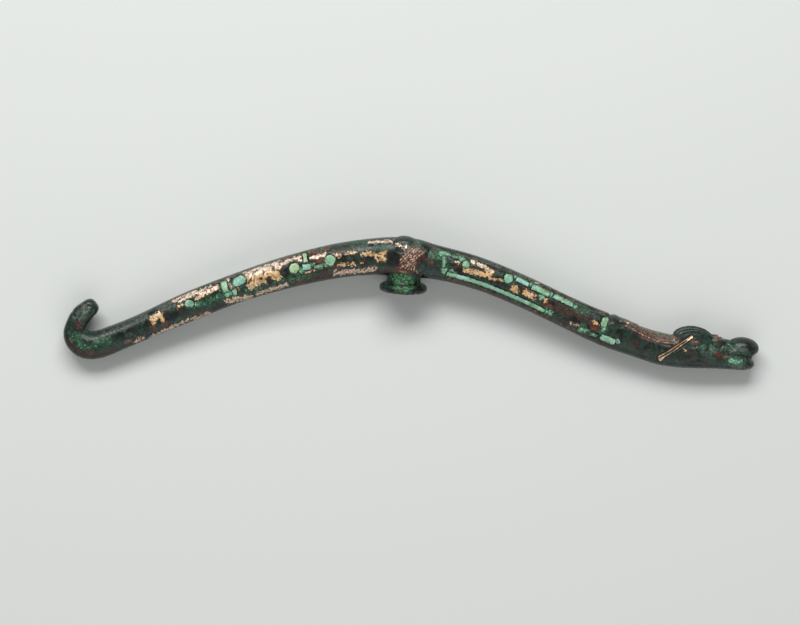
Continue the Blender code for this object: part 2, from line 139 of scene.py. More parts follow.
# Leaf and crumbs end where the skin faces this much up or down
FACING_EDGE = 0.94
PAST_EDGE = 3.0

# Name, place along the bar, height over its line, length, breadth, turn, corner share, hue
STONES = (
    ("tail_stone", -63.0, 1.2, 2.9, 2.2, -25, 1.0, 0.30),
    ("upright_stone", -51.9, 1.9, 1.9, 3.3, -4, 0.4, 0.60),
    ("mushroom_stone", -47.4, 2.1, 4.2, 2.6, 8, 1.0, 0.60),
    ("stem_stone", -49.7, -0.5, 1.5, 2.0, -4, 0.4, 0.35),
    ("left_disc_stone", -31.3, 1.1, 3.2, 3.2, 0, 1.0, 0.0),
    ("upper_strip_stone", -27.6, 3.2, 1.5, 2.6, 0, 0.4, 0.12),
    ("base_stone", -27.8, 0.6, 2.7, 1.9, -6, 0.5, 0.80),
    ("link_stone", -24.4, 0.0, 3.2, 1.4, -6, 0.5, 0.35),
    ("right_disc_stone", -20.8, 1.1, 3.3, 3.2, 0, 1.0, 0.45),
    ("border_end_stone", 11.7, 1.2, 1.3, 3.8, 8, 0.8, 0.30),
    ("border_stone", 28.4, -1.9, 31.0, 1.4, 0, 0.4, 0.40),
    ("ridge_chip_stone", 14.3, 3.4, 2.2, 1.1, -8, 0.7, 0.8),
    ("round_stone", 17.8, 2.1, 2.3, 2.3, 0, 1.0, 0.40),
    ("comma_stone", 30.4, 2.3, 2.9, 2.7, 0, 1.0, 0.6),
    ("first_bar_stone", 34.5, 3.0, 4.2, 1.4, -2, 0.4, 0.85),
    ("second_bar_stone", 40.2, 2.9, 5.8, 1.7, 0, 0.6, 0.5),
    ("third_bar_stone", 47.3, 3.1, 6.6, 1.4, 0, 0.4, 0.6),
    ("post_stone", 60.8, 2.4, 1.9, 2.8, 6, 0.5, 0.22),
    ("lower_stone", 59.3, -2.2, 2.5, 1.4, 0, 0.5, 0.3),
    ("corner_stone", 63.6, -1.9, 4.6, 2.0, 0, 0.6, 0.55))
HIDDEN_STONES = ("upright_stone", "mushroom_stone", "left_disc_stone", "right_disc_stone",
                 "border_stone", "round_stone", "comma_stone", "third_bar_stone", "corner_stone")
WORN_STONES = ("border_end_stone", "link_stone", "lower_stone", "ridge_chip_stone")
STRIP = ("gilt_strip", 83.1, 1.8, 12.0, 1.3, 44, 0.5, 0.0)
STONE_CLEAR = 0.04
STONE_THICK = 0.65
STONE_PROUD = 0.06
STRIP_PROUD = 0.22
INLAY_GRID = 0.35
INLAY_ROUNDING = 0.14
SHARP_FROM = 50
WORN_RIM = 0.30
# How far a stone's outline is chipped, and the scale of the chips
CHIPPED = 0.42
CHIP_SCALE = 1.1
CHIP_STEP = (31.0, 7.0, 0.0)

# The strip's breadth and taper, the flare and bend of its claw end, and its bright line
STRIP_BREADTH = 0.74
STRIP_TAPER = 0.03
FLARE = 1.1
FLARE_FROM = 0.62
CLAW_FROM = 3.6
CLAW_BEND = 0.10
BRIGHT_HALF = 0.42
SEAM_DEPTH = 0.16
SEAM_HALF = 0.2

# Where the long border stone turns bluer and how far, and where it is a little duller
BLUE_AT = 27.6
BLUE_HALF = 2.6
BLUE_MORE = 0.6
DULL_FROM = 32.0
DULL_LESS = 0.1

# Zones of colour: place, height, length, breadth, turn in degrees
GOLD = (
    (-74.2, 1.2, 4.0, 2.0, 8), (-75.6, 0.6, 1.2, 2.6, 10), (-72.8, 0.4, 1.1, 2.8, -8),
    (-73.0, -3.5, 10.0, 0.9, 2), (-62.0, -3.8, 5.6, 0.8, 4), (-81.4, -2.7, 1.6, 0.7, 0),
    (-63.9, 2.9, 5.4, 0.9, 0), (-66.7, 1.4, 1.8, 0.9, 25), (-57.6, 2.2, 7.0, 1.5, 4),
    (-60.2, 1.5, 3.6, 0.9, 10), (-51.1, 2.2, 0.6, 3.4, 4), (-49.1, 0.1, 0.5, 1.5, 0),
    (-40.5, 2.6, 12.5, 2.0, 0), (-41.3, 0.6, 9.6, 3.2, 0), (-45.4, -0.4, 2.6, 2.2, 20),
    (-37.4, -0.4, 2.0, 2.4, 30), (-50.0, -3.1, 8.4, 1.3, -9), (-40.0, -3.4, 10.0, 1.0, 0),
    (-32.2, 3.4, 6.2, 0.9, 4), (-30.0, 3.1, 1.2, 1.6, 0), (-34.4, 2.8, 1.7, 1.2, 30),
    (-24.6, 2.4, 5.2, 1.1, 2), (-19.6, 1.6, 2.6, 1.3, -25), (-15.4, 1.8, 3.2, 1.0, 2),
    (-11.0, 0.9, 3.4, 1.3, 0), (-8.4, 0.5, 2.6, 1.0, -14), (-17.2, -1.4, 5.8, 1.1, -5),
    (-12.6, -1.6, 1.4, 0.6, 5), (-6.2, -0.2, 2.5, 2.7, 0), (-5.3, 1.0, 0.8, 1.6, 24),
    (-8.2, -0.9, 0.5, 1.7, 35), (-17.0, -3.6, 9.0, 1.3, -3), (-10.5, -3.6, 4.5, 1.3, 6),
    (-7.0, 4.3, 7.0, 0.8, 0), (-2.2, 3.4, 1.4, 1.1, 0), (-0.6, 2.8, 1.7, 1.5, 0),
    (15.2, 1.4, 1.9, 0.6, 6), (21.3, 0.0, 8.6, 1.5, 4), (21.8, 2.3, 6.8, 1.2, -6),
    (24.6, 1.2, 2.4, 2.0, 0), (26.4, -0.2, 3.0, 0.8, 12), (28.4, 0.4, 1.6, 0.8, 10),
    (33.2, -0.5, 2.6, 2.0, -25), (37.6, -0.2, 4.2, 1.9, -4), (42.5, 0.2, 1.0, 1.4, 0),
    (38.2, 3.5, 1.6, 0.5, 0), (58.3, 0.3, 2.0, 0.9, 0), (52.9, -2.5, 3.4, 0.6, 6),
    (-22.6, -0.9, 2.6, 0.4, 4), (-27.5, -1.3, 4.0, 0.3, 2),
    (66.0, 3.9, 2.4, 0.15, 8), (88.3, 3.7, 1.2, 0.2, 6), (85.9, 0.9, 1.4, 0.2, -20),
    # These three rows, along the top of the left bar, lay leaf over a pale band that is partly
    # painted highlight
    (-64.5, 3.5, 8.0, 0.8, 2), (-41.0, 3.5, 11.0, 0.9, 0), (-58.5, 3.2, 5.0, 0.9, 4),
    (-66.5, -3.3, 6.0, 0.7, 2), (-77.0, -3.6, 3.0, 0.5, 4), (-81.2, -3.0, 3.2, 0.6, 4))
RED = (
    (-76.1, -1.5, 0.7, 1.9, 8), (-72.7, -2.1, 2.2, 0.7, -6), (-63.0, -3.5, 2.4, 0.6, 4),
    (-31.9, -3.6, 1.5, 0.9, 0), (-24.6, 1.1, 3.6, 0.8, 4), (-24.5, 3.9, 4.6, 0.9, 0),
    (-0.2, -3.9, 4.0, 1.2, 4), (2.6, 2.9, 0.8, 1.6, 30), (1.6, -0.2, 2.8, 1.4, 40),
    (5.8, 0.8, 1.2, 0.8, 0), (7.8, -0.3, 1.1, 1.2, 10), (43.6, -0.2, 2.4, 1.7, 0),
    (38.4, -0.3, 2.0, 0.9, 0), (58.7, -0.7, 2.8, 1.5, 14), (73.6, 1.5, 2.2, 0.8, -4),
    (95.0, 0.8, 1.9, 1.0, 0), (95.4, 3.2, 1.0, 0.8, 0), (-102.9, 0.3, 1.6, 1.2, 20),
    (-20.0, -1.9, 2.2, 0.5, 0))
GREEN = (
    (-62.6, -0.1, 2.4, 0.9, -20), (-57.5, -0.4, 9.5, 1.7, 2), (-53.4, -1.4, 3.4, 1.8, 0),
    (-42.0, -2.2, 12.0, 1.0, 3), (-31.0, -2.2, 6.0, 0.9, 0), (-24.5, 4.2, 6.5, 0.8, 0),
    (-11.5, 4.0, 6.0, 0.7, -6), (-6.8, 2.5, 2.8, 1.6, -18), (9.0, 1.6, 4.0, 3.0, 0),
    (12.5, 2.6, 5.0, 1.4, 0), (13.0, -2.0, 3.0, 1.8, -30), (0.0, -6.4, 6.4, 3.0, 0),
    (1.0, -9.0, 6.0, 1.4, 0), (2.8, 4.0, 1.2, 1.4, 0), (34.0, -2.6, 4.0, 1.3, 0),
    (41.8, -2.0, 6.0, 1.8, 0), (52.4, 2.4, 5.4, 1.4, 0), (55.8, -2.6, 3.4, 1.6, -8),
    (61.0, -0.5, 1.5, 2.4, 0), (93.1, 2.5, 1.9, 3.2, 0), (90.6, 2.2, 3.2, 1.0, 14),
    (100.4, -0.8, 4.8, 1.8, 0), (99.0, 3.2, 3.4, 1.8, -20), (-92.0, 0.4, 5.0, 2.0, 0),
    (-97.6, -0.8, 4.4, 2.6, 0), (-107.4, 0.2, 0.8, 0.6, 0))
BROWN = (
    (-27.0, -3.6, 14.0, 1.6, -2), (-93.0, -3.4, 9.0, 1.4, 0), (-60.0, -4.4, 20.0, 0.9, 2),
    (-8.0, -4.6, 12.0, 0.8, 0), (30.0, -4.3, 38.0, 0.8, 0), (57.0, -4.4, 18.0, 0.9, 0),
    (51.0, 0.6, 12.0, 2.6, -4), (47.0, -0.6, 9.0, 2.0, 0), (-15.0, 3.0, 9.0, 1.3, 0),
    (15.4, -0.1, 3.0, 2.4, 0), (36.0, 0.9, 3.4, 1.0, 0), (-36.0, 1.8, 3.4, 0.8, 0),
    (1.6, -0.6, 5.6, 5.6, 30), (0.4, -11.4, 12.0, 0.9, 0), (-97.0, -2.6, 6.0, 1.6, 0))
# Coppery brown on the nape's plate and in patches; the long thin row along the ridge (34.5) is a
# painted highlight line, and the thin rows along the top of the left bar are painted pinkish sheen
COPPER_AND_SHEEN = (
    (77.6, 3.2, 12.5, 2.7, -2), (71.0, 3.4, 4.6, 1.3, -12), (94.6, 5.2, 2.2, 1.0, -10),
    (67.5, 4.2, 5.0, 0.7, 2), (34.5, 3.7, 54.0, 0.12, 0), (36.0, -4.0, 44.0, 0.1, 0),
    (-52.0, 3.7, 8.0, 0.5, 0), (-38.0, 3.9, 20.0, 0.6, 0),
    (-64.0, 3.9, 8.0, 0.5, 0), (-23.5, 4.0, 6.0, 0.7, 0), (5.0, -4.9, 1.0, 0.5, 0),
    (97.4, 0.6, 1.6, 1.1, 0), (87.9, 3.5, 3.0, 1.3, 6), (-84.5, -2.2, 2.2, 1.0, 0),
    (-102.3, 0.5, 1.4, 0.8, 20))
# Near-black patches; the broad one before the crown (-3.4), under the mask's head, is painted shade
# of the hollow there
DARK = (
    (-40.0, -0.4, 1.7, 1.9, 0), (-38.0, 2.0, 1.0, 1.0, 0), (-42.2, 0.5, 1.0, 0.5, 0),
    (-45.3, 0.9, 1.3, 0.4, 30), (-3.4, -0.6, 4.0, 5.2, 10), (-34.6, 1.4, 1.6, 2.2, 30),
    (-29.9, 1.4, 0.9, 1.8, 10), (-26.9, 1.5, 1.1, 1.6, 0), (-69.4, -0.6, 3.0, 2.0, 20),
    (16.0, -0.6, 2.2, 1.6, 0), (44.6, 0.4, 1.8, 1.2, 0), (53.0, -1.3, 3.0, 1.4, 0))
# Where crumbled green stone still fills its bed
CRUMBS = (
    (41.3, 0.8, 1.6, 1.8, 20), (-26.9, 0.3, 1.6, 1.5, -8), (-23.6, -0.3, 2.0, 1.0, 4),
    (-28.5, 1.5, 1.3, 1.4, 0), (-30.3, -0.2, 1.6, 1.0, 10), (10.4, 2.7, 2.4, 1.3, -6),
    (12.2, 2.9, 1.6, 0.8, 0), (16.0, 2.7, 2.0, 1.0, -20), (11.9, -1.7, 1.3, 2.2, 24),
    (44.4, -2.5, 3.4, 1.1, 0), (50.6, 2.3, 2.0, 1.0, 0), (61.1, -0.1, 1.2, 1.5, 0),
    (66.0, -2.2, 1.6, 1.3, 0), (55.9, -3.1, 2.2, 1.0, 6), (-62.2, 0.0, 1.4, 0.8, -20),
    (-51.0, -2.2, 1.6, 0.8, 0), (-52.4, -0.5, 2.0, 1.2, 10), (-46.0, 2.6, 1.0, 1.6, 20),
    (32.5, 3.0, 2.0, 0.7, 0), (37.0, 2.7, 1.6, 1.0, 0), (100.4, -0.7, 3.8, 1.3, 0),
    (-50.2, 1.3, 1.4, 1.3, 20), (-30.0, -0.6, 1.2, 0.7, 0), (14.6, -1.8, 1.8, 0.8, -30),
    (43.4, 2.6, 1.2, 1.2, 0))
# Dull grey green where the gloss has gone, on the hook's tip and the nose; along the top of the left
# bar and on the dragon's eye it is painted highlight, a grey sheen
SAGE_AND_SHEEN = (
    (101.6, 3.0, 3.6, 1.6, -4), (99.4, 2.4, 1.6, 1.6, 0), (92.6, 1.4, 4.2, 0.9, 8),
    (102.0, -2.2, 5.0, 0.8, 0), (-106.2, -0.9, 5.0, 2.4, 0), (-87.0, 2.2, 12.0, 0.8, 0),
    (-79.0, 2.6, 5.0, 0.8, 0), (-70.4, 3.0, 5.0, 1.0, 0), (-40.0, 3.9, 9.0, 0.6, 0),
    (3.0, 4.2, 1.6, 1.2, 0), (-13.0, 2.4, 5.0, 0.9, 0), (29.0, 4.0, 20.0, 0.3, 0),
    (78.0, 4.1, 8.0, 0.4, -3))
ZONES = (("gold", GOLD), ("copper_and_sheen", COPPER_AND_SHEEN), ("red", RED), ("brown", BROWN), ("dark", DARK),
         ("crumb", CRUMBS), ("sage_and_sheen", SAGE_AND_SHEEN))
# The mane's strokes and the plate's bright edge: from place and height to place and height
STROKES = (
    (-1.3, -1.0, 2.2, 3.2), (-1.1, -1.9, 2.9, 3.0), (-0.8, -2.6, 3.6, 2.9), (0.0, -2.7, 4.4, 2.6),
    (0.9, -2.5, 5.2, 2.2), (1.3, -3.4, 2.3, -0.5), (2.1, -3.8, 2.9, -0.8), (2.9, -4.2, 3.3, -1.1),
    (-0.9, 0.2, 0.5, -0.5), (0.9, 1.1, 1.9, 0.3), (2.3, 0.6, 2.9, -0.6), (-0.3, 1.2, 0.7, 0.6),
    (3.4, 2.0, 4.1, 1.4), (0.3, -3.6, 1.2, -1.8), (-1.0, -3.2, 0.2, -2.4), (3.6, -3.4, 4.3, -4.2),
    (67.0, 3.1, 70.8, 2.4), (70.8, 2.4, 74.5, 2.0), (74.5, 2.0, 77.6, 1.6), (77.6, 1.6, 82.2, 2.2))
STROKE_HALF = 0.12
STROKE_FROM = 1.5
STROKE_PROUD = 0.22
STROKE_SLOPE = 0.2

# Carving on the sides of the bar. Each row begins with how far it stands proud and how wide it is
# Arcs of eyes, cheek, nostril, brow and mane: then middle, height, radius and two angles
CARVED_ARCS = (
    (-0.30, 0.22, 90.4, -3.4, 3.0, 30, 150), (-0.25, 0.24, 98.2, 2.6, 2.2, 100, 260),
    (-0.30, 0.26, 91.6, 2.2, 1.9, 0, 360), (-0.22, 0.24, 91.6, 2.2, 2.7, 20, 170),
    (-0.30, 0.22, 104.4, 3.6, 1.2, 200, 520), (-0.20, 0.30, -0.9, 3.2, 1.25, 0, 360),
    (-0.22, 0.20, -108.9, 0.3, 1.15, 0, 360))
# Straight edges of the mouth and lips: then place, height, length, breadth and turn
CARVED_LINES = (
    (-0.55, 0.30, 101.8, 1.35, 8.6, 0.2, -2), (0.24, 0.34, 102.2, 2.45, 6.4, 0.3, -4),
    (0.20, 0.30, 102.4, 0.3, 5.0, 0.2, 4))
# Rings behind the nose and the mask's collar: then place, lean and lowest height
CARVED_RINGS = ((-0.28, 0.35, 98.6, 0.15, 1.6), (-0.25, 0.30, 6.6, 0.12, -99.0))
# The horn's coils: then how far out they lie, and the angle that they begin at
CARVED_COILS = ((-0.42, 0.26, 0.74, -25), (-0.40, 0.24, 0.42, 5))
COIL_SCALE = 4.8
CORE_SHARE = 0.30
CORE_DEPTH = 0.30
CARVED_FROM = 1.0
# Over the top as well: the dip before the nose, the small head's ring, the step at the ridge's end
NOSE_DIP = (97.4, 6.2, 1.6, 180, 300)
DIP_DEPTH = 0.30
WHOLE_RINGS = ((-0.16, 0.35, -104.2, 0.30, -99.0), (0.24, 0.80, 63.4, 0.0, 2.4),
               (-0.30, 0.35, 61.9, 0.0, 2.4))
# The nape's plate, lower than its edge, and the dark round pit among the gold
PLATE = (77.2, 3.6, 13.2, 3.6, -3)
PLATE_DEPTH = 0.22
PIT = (-40.0, -0.4, 1.7, 1.9, 0)
PIT_DEPTH = 0.45

# Masks of the casting's zones: the zone, the edge's reach and softness, and its noise's scale
MASKS = {"brown": ("brown", 2.2, 0.8, 700.0), "copper_and_sheen": ("copper_and_sheen", 1.6, 0.5, 800.0),
         "green": ("green", 4.0, 1.5, 700.0), "red": ("red", 2.2, 0.9, 1000.0),
         "crumb": ("crumb", 1.7, 0.3, 1100.0), "dark": ("dark", 1.1, 0.3, 900.0),
         "gold": ("gold", 1.5, 0.10, 1500.0), "stain": ("gold", 1.5, 0.9, 1500.0),
         "hair": ("stroke", 0.45, 0.14, 1500.0), "sage_and_sheen": ("sage_and_sheen", 2.0, 1.0, 900.0)}
# Coats over the green bronze, lowest first: mask, strength, and a colour or a dark and a light one
COATS = (("rust", 0.9, (0.044, 0.024, 0.017)),
         ("specks", 0.35, (0.08, 0.17, 0.10)),
         ("brown", 0.85, ((0.020, 0.009, 0.008), (0.085, 0.046, 0.028))),
         # Coppery brown, and painted highlight along the ridge and the top of the left bar
         ("copper_and_sheen", 0.85, ((0.060, 0.034, 0.022), (0.24, 0.145, 0.095))),
         ("green", 1.0, None),
         ("red", 0.9, ((0.055, 0.012, 0.010), (0.26, 0.055, 0.046))),
         ("crumb", 0.95, ((0.08, 0.26, 0.15), (0.34, 0.60, 0.40))),
         # Near-black; before the crown it is painted shade
         ("dark", 0.9, (0.004, 0.006, 0.005)),
         ("joint", 0.8, (0.010, 0.012, 0.008)),
         ("stain", 0.8, (0.058, 0.032, 0.022)),
         ("mane", 0.9, ((0.030, 0.010, 0.008), (0.13, 0.050, 0.030))),
         ("hair", 0.9, ((0.24, 0.13, 0.08), (0.80, 0.60, 0.44))),
         # Grey green, partly painted highlight: the sheen along the top of the left bar and on the
         # eye
         ("sage_and_sheen", 0.75, ((0.034, 0.048, 0.040), (0.19, 0.23, 0.185))))

# Lamps with their place, size and power, and the studio
LAMPS = (("key_lamp", (-0.08, 0.56, 0.64), (0.80, 0.30), 6.8),
         ("fill_lamp", (0.10, -0.75, 0.60), (1.40, 1.00), 3.5))
LAMP_TARGET = (0.0, 0.0, 0.005)
SKY = (1.0, 1.0, 1.0, 1.0)
SKY_STRENGTH = 0.25
PAPER = (0.71, 0.735, 0.715, 1.0)
FLOOR_HALF = 3.0


def walk(arcs, heading, turn_sign):
    """Points along a chain of arcs, as (distance, x, y, heading)."""
    x = 0.0
    y = CROWN_LIFT
    distance = 0.0
    points = [(distance, x, y, heading)]
    for length, turn in arcs:
        steps = round(length / WALK_STEP)
        for _ in range(steps):
            heading += radians(turn) * turn_sign / steps / 2
            x += cos(heading) * length / steps
            y += sin(heading) * length / steps
            heading += radians(turn) * turn_sign / steps / 2
            distance += length / steps
            points.append((distance, x, y, heading))
    return points


def make_line():
    """The whole middle line from the hook's tip to the nose, heading towards the nose."""
    slope = radians(CROWN_SLOPE)
    back = walk(TO_HOOK, pi + slope, 1)
    ahead = walk(TO_HEAD, slope, -1)
    hook_side = [(-s, x, y, heading - pi) for s, x, y, heading in reversed(back)]
    return np.array(hook_side + ahead[1:])


LINE = make_line()
LYING = (Matrix.Translation(Vector(SHIFT) * MM) @ Matrix.Rotation(radians(LEAN), 4, "Y")
         @ Matrix.Rotation(radians(TILT), 4, "X"))


def beside(s, height, z):
    """Points at heights over the middle line, in the drawing's millimetres."""
    x, y, heading = [np.interp(s, LINE[:, 0], LINE[:, k]) for k in (1, 2, 3)]
    return np.stack([x - height * np.sin(heading), y + height * np.cos(heading),
                     z + np.zeros_like(x)], axis=-1)


def smooth_table():
    """The sections' sizes every half millimetre, by a smooth curve through the table."""
    rows = np.array(SECTIONS)
    slopes = np.gradient(rows[:, 1:], rows[:, 0], axis=0)
    places = np.arange(HOOK_END - TABLE_STEP, HEAD_END + TABLE_STEP + 0.1, TABLE_STEP)
    i = np.clip(np.searchsorted(rows[:, 0], places) - 1, 0, len(rows) - 2)
    span = (rows[i + 1, 0] - rows[i, 0])[:, None]
    t = (places[:, None] - rows[i, 0][:, None]) / span
    start = (2 * t ** 3 - 3 * t ** 2 + 1) * rows[i, 1:]
    leaving = (t ** 3 - 2 * t ** 2 + t) * slopes[i] * span
    end = (3 * t ** 2 - 2 * t ** 3) * rows[i + 1, 1:]
    arriving = (t ** 3 - t ** 2) * slopes[i + 1] * span
    return places, start + leaving + end + arriving


TABLE = smooth_table()


def sizes_at(s):
    """Height, depth and half width of the bar at the places s."""
    return [np.interp(s, TABLE[0], TABLE[1][:, k]) for k in range(3)]


def skin(s, height):
    """Half width of the bar at a height over its line, on its sides."""
    rise, drop, width = sizes_at(s)
    share = np.where(height > 0, height / rise, -height / drop)
    fullness = np.where(height > 0, TOP_FULLNESS, UNDER_FULLNESS)
    return width * np.maximum(1 - np.clip(share, 0, 1) ** fullness, 1e-4) ** (1 / fullness)


def opened(s):
    """How far the section has opened behind the two rounded ends."""
    share = np.ones_like(s)
    for end, rounding, sign in ((HOOK_END, HOOK_END_ROUND, 1), (HEAD_END, HEAD_END_ROUND, -1)):
        t = np.clip((s - end) * sign / rounding, 0.01, 1)
        share = np.minimum(share, (1 - (1 - t) ** END_FULLNESS) ** (1 / END_FULLNESS))
    return share


def new_object(name, data):
    """An object in the scene."""
    item = bpy.data.objects.new(name, data)
    bpy.context.scene.collection.objects.link(item)
    return item


def mesh_object(name, mesh):
    """An object from a bmesh, which is used up."""
    data = bpy.data.meshes.new(name)
    mesh.to_mesh(data)
    mesh.free()
    return new_object(name, data)


def add_bar(mesh):
    """The bar with its ridge: a grid rolled round the middle line."""
    before = len(mesh.verts)
    bmesh.ops.create_grid(mesh, x_segments=ALONG, y_segments=AROUND, size=1.0)
    mesh.verts.ensure_lookup_table()
    new = mesh.verts[before:]
    flat = np.array([v.co[:2] for v in new])
    s = HOOK_END + (flat[:, 0] + 1) / 2 * (HEAD_END - HOOK_END)
    angle = flat[:, 1] * pi
    rise, drop, width = sizes_at(s)
    c = np.cos(angle)
    n = np.sin(angle)
    fullness = np.where(n > 0, TOP_FULLNESS, UNDER_FULLNESS)
    z = width * np.sign(c) * np.abs(c) ** (2 / fullness)
    height = np.where(n > 0, rise, drop) * np.sign(n) * np.abs(n) ** (2 / fullness)
    ridge = np.clip(np.minimum((s - RIDGE_FROM) / RIDGE_RISE, (RIDGE_TO - s) / RIDGE_FALL), 0, 1)
    flat_top = np.clip((RIDGE_HALF - np.abs(z)) / RIDGE_EDGE, 0, 1) * (n > 0)
    height += ridge * flat_top * (rise - height) * RIDGE_FLATNESS
    groove = np.exp(-((np.abs(z) - GROOVE_MIDDLE) / GROOVE_HALF) ** 2) * (n > 0)
    height -= ridge * groove * GROOVE_DEPTH
    place = beside(s, height * opened(s), z * opened(s)) * MM
    for v, co in zip(new, place):
        v.co = co
    bmesh.ops.remove_doubles(mesh, verts=new, dist=1e-6)
    bmesh.ops.holes_fill(mesh, edges=[e for e in mesh.edges if e.is_boundary], sides=400)


def join(mesh, other):
    """Adds one bmesh to another and frees it."""
    data = bpy.data.meshes.new("joined")
    other.to_mesh(data)
    other.free()
    mesh.from_mesh(data)
    bpy.data.meshes.remove(data)


def add_lump(mesh, s, height, z, along, across, thick, turn=0.0):
    """A rounded lump of the casting: an ellipsoid by its middle and half sizes, along the bar."""
    heading = float(np.interp(s, LINE[:, 0], LINE[:, 3]))
    place = Matrix.Translation(Vector(beside(np.float64(s), height, z)) * MM)
    turned = Matrix.Rotation(heading + radians(turn), 4, "Z")
    size = Matrix.Diagonal((along * MM, across * MM, thick * MM, 1.0))
    ball = bmesh.new()
    bmesh.ops.create_uvsphere(ball, u_segments=40, v_segments=24, radius=1.0,
                              matrix=place @ turned @ size)
    join(mesh, ball)


def add_button(mesh):
    """The turned button and its neck, spun round their axis."""
    rim = BUTTON_THICK / 2
    profile = [(0.0, NECK_FLARE[0][1])]
    for out, up in NECK_FLARE + ((0.3, rim + 0.1),):
        profile.append((NECK_RADIUS + out, up))
    for angle in range(80, -81, -16):
        a = radians(angle)
        profile.append((BUTTON_RADIUS - rim + rim * cos(a), rim * sin(a)))
    profile.append((BUTTON_RADIUS - rim - 0.6, -rim))
    profile.append((0.0, -rim))
    place = (Matrix.Translation(Vector((0.0, BUTTON_MIDDLE, 0.0)) * MM)
             @ Matrix.Rotation(radians(BUTTON_LEAN), 4, "Z")
             @ Matrix.Rotation(radians(-90), 4, "X"))
    turned = bmesh.new()
    made = [turned.verts.new((r * MM, 0.0, z * MM)) for r, z in profile]
    edges = [turned.edges.new(pair) for pair in zip(made, made[1:])]
    bmesh.ops.spin(turned, geom=made + edges, cent=(0, 0, 0), axis=(0, 0, 1),
                   angle=2 * pi, steps=72, use_merge=True)
    bmesh.ops.remove_doubles(turned, verts=turned.verts[:], dist=1e-7)
    bmesh.ops.transform(turned, matrix=place, verts=turned.verts[:])
    join(mesh, turned)


def add_head(mesh):
    """The dragon's horns, brows, eyes, nose and lower lip."""
    add_lump(mesh, 102.7, 3.7, 0.0, 4.7, 2.95, 3.7)
    add_lump(mesh, 103.8, -0.9, 0.0, 2.8, 1.85, 3.1)
    for side in (1, -1):
        add_lump(mesh, HORN[0], HORN[1], side * HORN_OUT, HORN[2], HORN[3], HORN_THICK)
        add_lump(mesh, 94.8, 4.4, side * 1.9, 2.6, 1.9, 1.7, -10)
        add_lump(mesh, 91.6, 2.2, side * 4.0, 1.5, 1.0, 0.8, -8)


def add_mask(mesh):
    """The mask at the crown and the small head at the hook's tip."""
    add_lump(mesh, 0.2, 4.3, 0.0, 3.4, 1.9, 3.6)
    for side in (1, -1):
        add_lump(mesh, -1.1, 3.2, side * 4.0, 1.5, 1.1, 0.9)
        add_lump(mesh, 2.4, -0.6, side * 4.3, 2.6, 3.4, 0.9, -20)
        add_lump(mesh, -108.9, 0.3, side * 2.15, 1.0, 0.75, 0.6)


def along_bar(co):
    """Place, height and thickness of points given in the drawing's millimetres."""
    s = np.empty(len(co))
    height = np.empty(len(co))
    batch = 4000
    for start in range(0, len(co), batch):
        part = co[start:start + batch]
        far = ((part[:, None, :2] - LINE[None, :, 1:3]) ** 2).sum(axis=2)
        near = LINE[far.argmin(axis=1)]
        dx = part[:, 0] - near[:, 1]
        dy = part[:, 1] - near[:, 2]
        heading = near[:, 3]
        s[start:start + batch] = near[:, 0] + dx * np.cos(heading) + dy * np.sin(heading)
        height[start:start + batch] = dy * np.cos(heading) - dx * np.sin(heading)
    return s, height, co[:, 2]


def as_seen(co):
    """Points of either side where the photograph's eye sees them, against the middle plane."""
    turned = np.array(LYING)
    near = np.column_stack((co[:, :2], np.abs(co[:, 2]))) @ turned[:3, :3].T + SHIFT - EYE_TARGET
    lean = radians(EYE_LEAN)
    far = EYE_FAR - near[:, 1] * sin(lean) - near[:, 2] * cos(lean)
    up = near[:, 1] * cos(lean) - near[:, 2] * sin(lean)
    flat = np.zeros_like(co)
    flat[:, 0] = near[:, 0] / far * SEEN_SCALE[0] + SEEN_SHIFT[0]
    flat[:, 1] = up / far * SEEN_SCALE[1] + SEEN_SHIFT[1]
    s, height, _ = along_bar(flat)
    return s, height


def tablet(s, height, row, corner=0.6):
    """Distance to the edge of a round-cornered tablet, negative inside it."""
    lean = radians(row[4])
    dx = s - row[0]
    dy = height - row[1]
    u = np.abs(dx * cos(lean) + dy * sin(lean))
    v = np.abs(dy * cos(lean) - dx * sin(lean))
    radius = min(row[2], row[3]) / 2 * corner
    u = u - row[2] / 2 + radius
    v = v - row[3] / 2 + radius
    return np.hypot(np.maximum(u, 0), np.maximum(v, 0)) + np.minimum(np.maximum(u, v), 0) - radius


def zone(s, height, z, rows, hidden_every=HIDDEN_EVERY):
    """Distance to the nearest tablet of a zone; the hidden side leaves some of them out."""
    shown = np.full(len(s), FAR)
    hidden = np.full(len(s), FAR)
    for i, row in enumerate(rows):
        distance = tablet(s, height, row, ZONE_CORNER)
        shown = np.minimum(shown, distance)
        if i % hidden_every:
            hidden = np.minimum(hidden, distance)
    return np.where(z > 0, shown, hidden)


def stone_zone(s, height, z):
    """Distance to the nearest recess for a stone or strip."""
    distance = np.full(len(s), FAR)
    for row in STONES + (STRIP,):
        near = tablet(s, height, row[1:6], row[6])
        if row[0] not in HIDDEN_STONES and row is not STRIP:
            near = np.where(z > 0, near, FAR)
        distance = np.minimum(distance, near)
    return np.where(np.abs(z) > SIDE_FROM, distance, FAR)


def stroke_zone(s, height):
    """Distance to the mane's nearest stroke."""
    distance = np.full(len(s), FAR)
    for s0, h0, s1, h1 in STROKES:
        ds = s1 - s0
        dh = h1 - h0
        t = np.clip(((s - s0) * ds + (height - h0) * dh) / (ds * ds + dh * dh), 0, 1)
        distance = np.minimum(distance, np.hypot(s - s0 - t * ds, height - h0 - t * dh))
    return distance


def line_depth(distance, width):
    """One on a line, falling smoothly to nothing at its width."""
    return np.exp(-(distance / width) ** 2)


def arc(s, height, s0, h0, radius, low, high):
    """Distance to an arc of a circle in the bar's frame, between two angles in degrees."""
    angle = np.degrees(np.arctan2(height - h0, s - s0)) % 360
    inside = (angle >= low) & (angle <= high)
    return np.where(inside, np.abs(np.hypot(s - s0, height - h0) - radius), FAR)


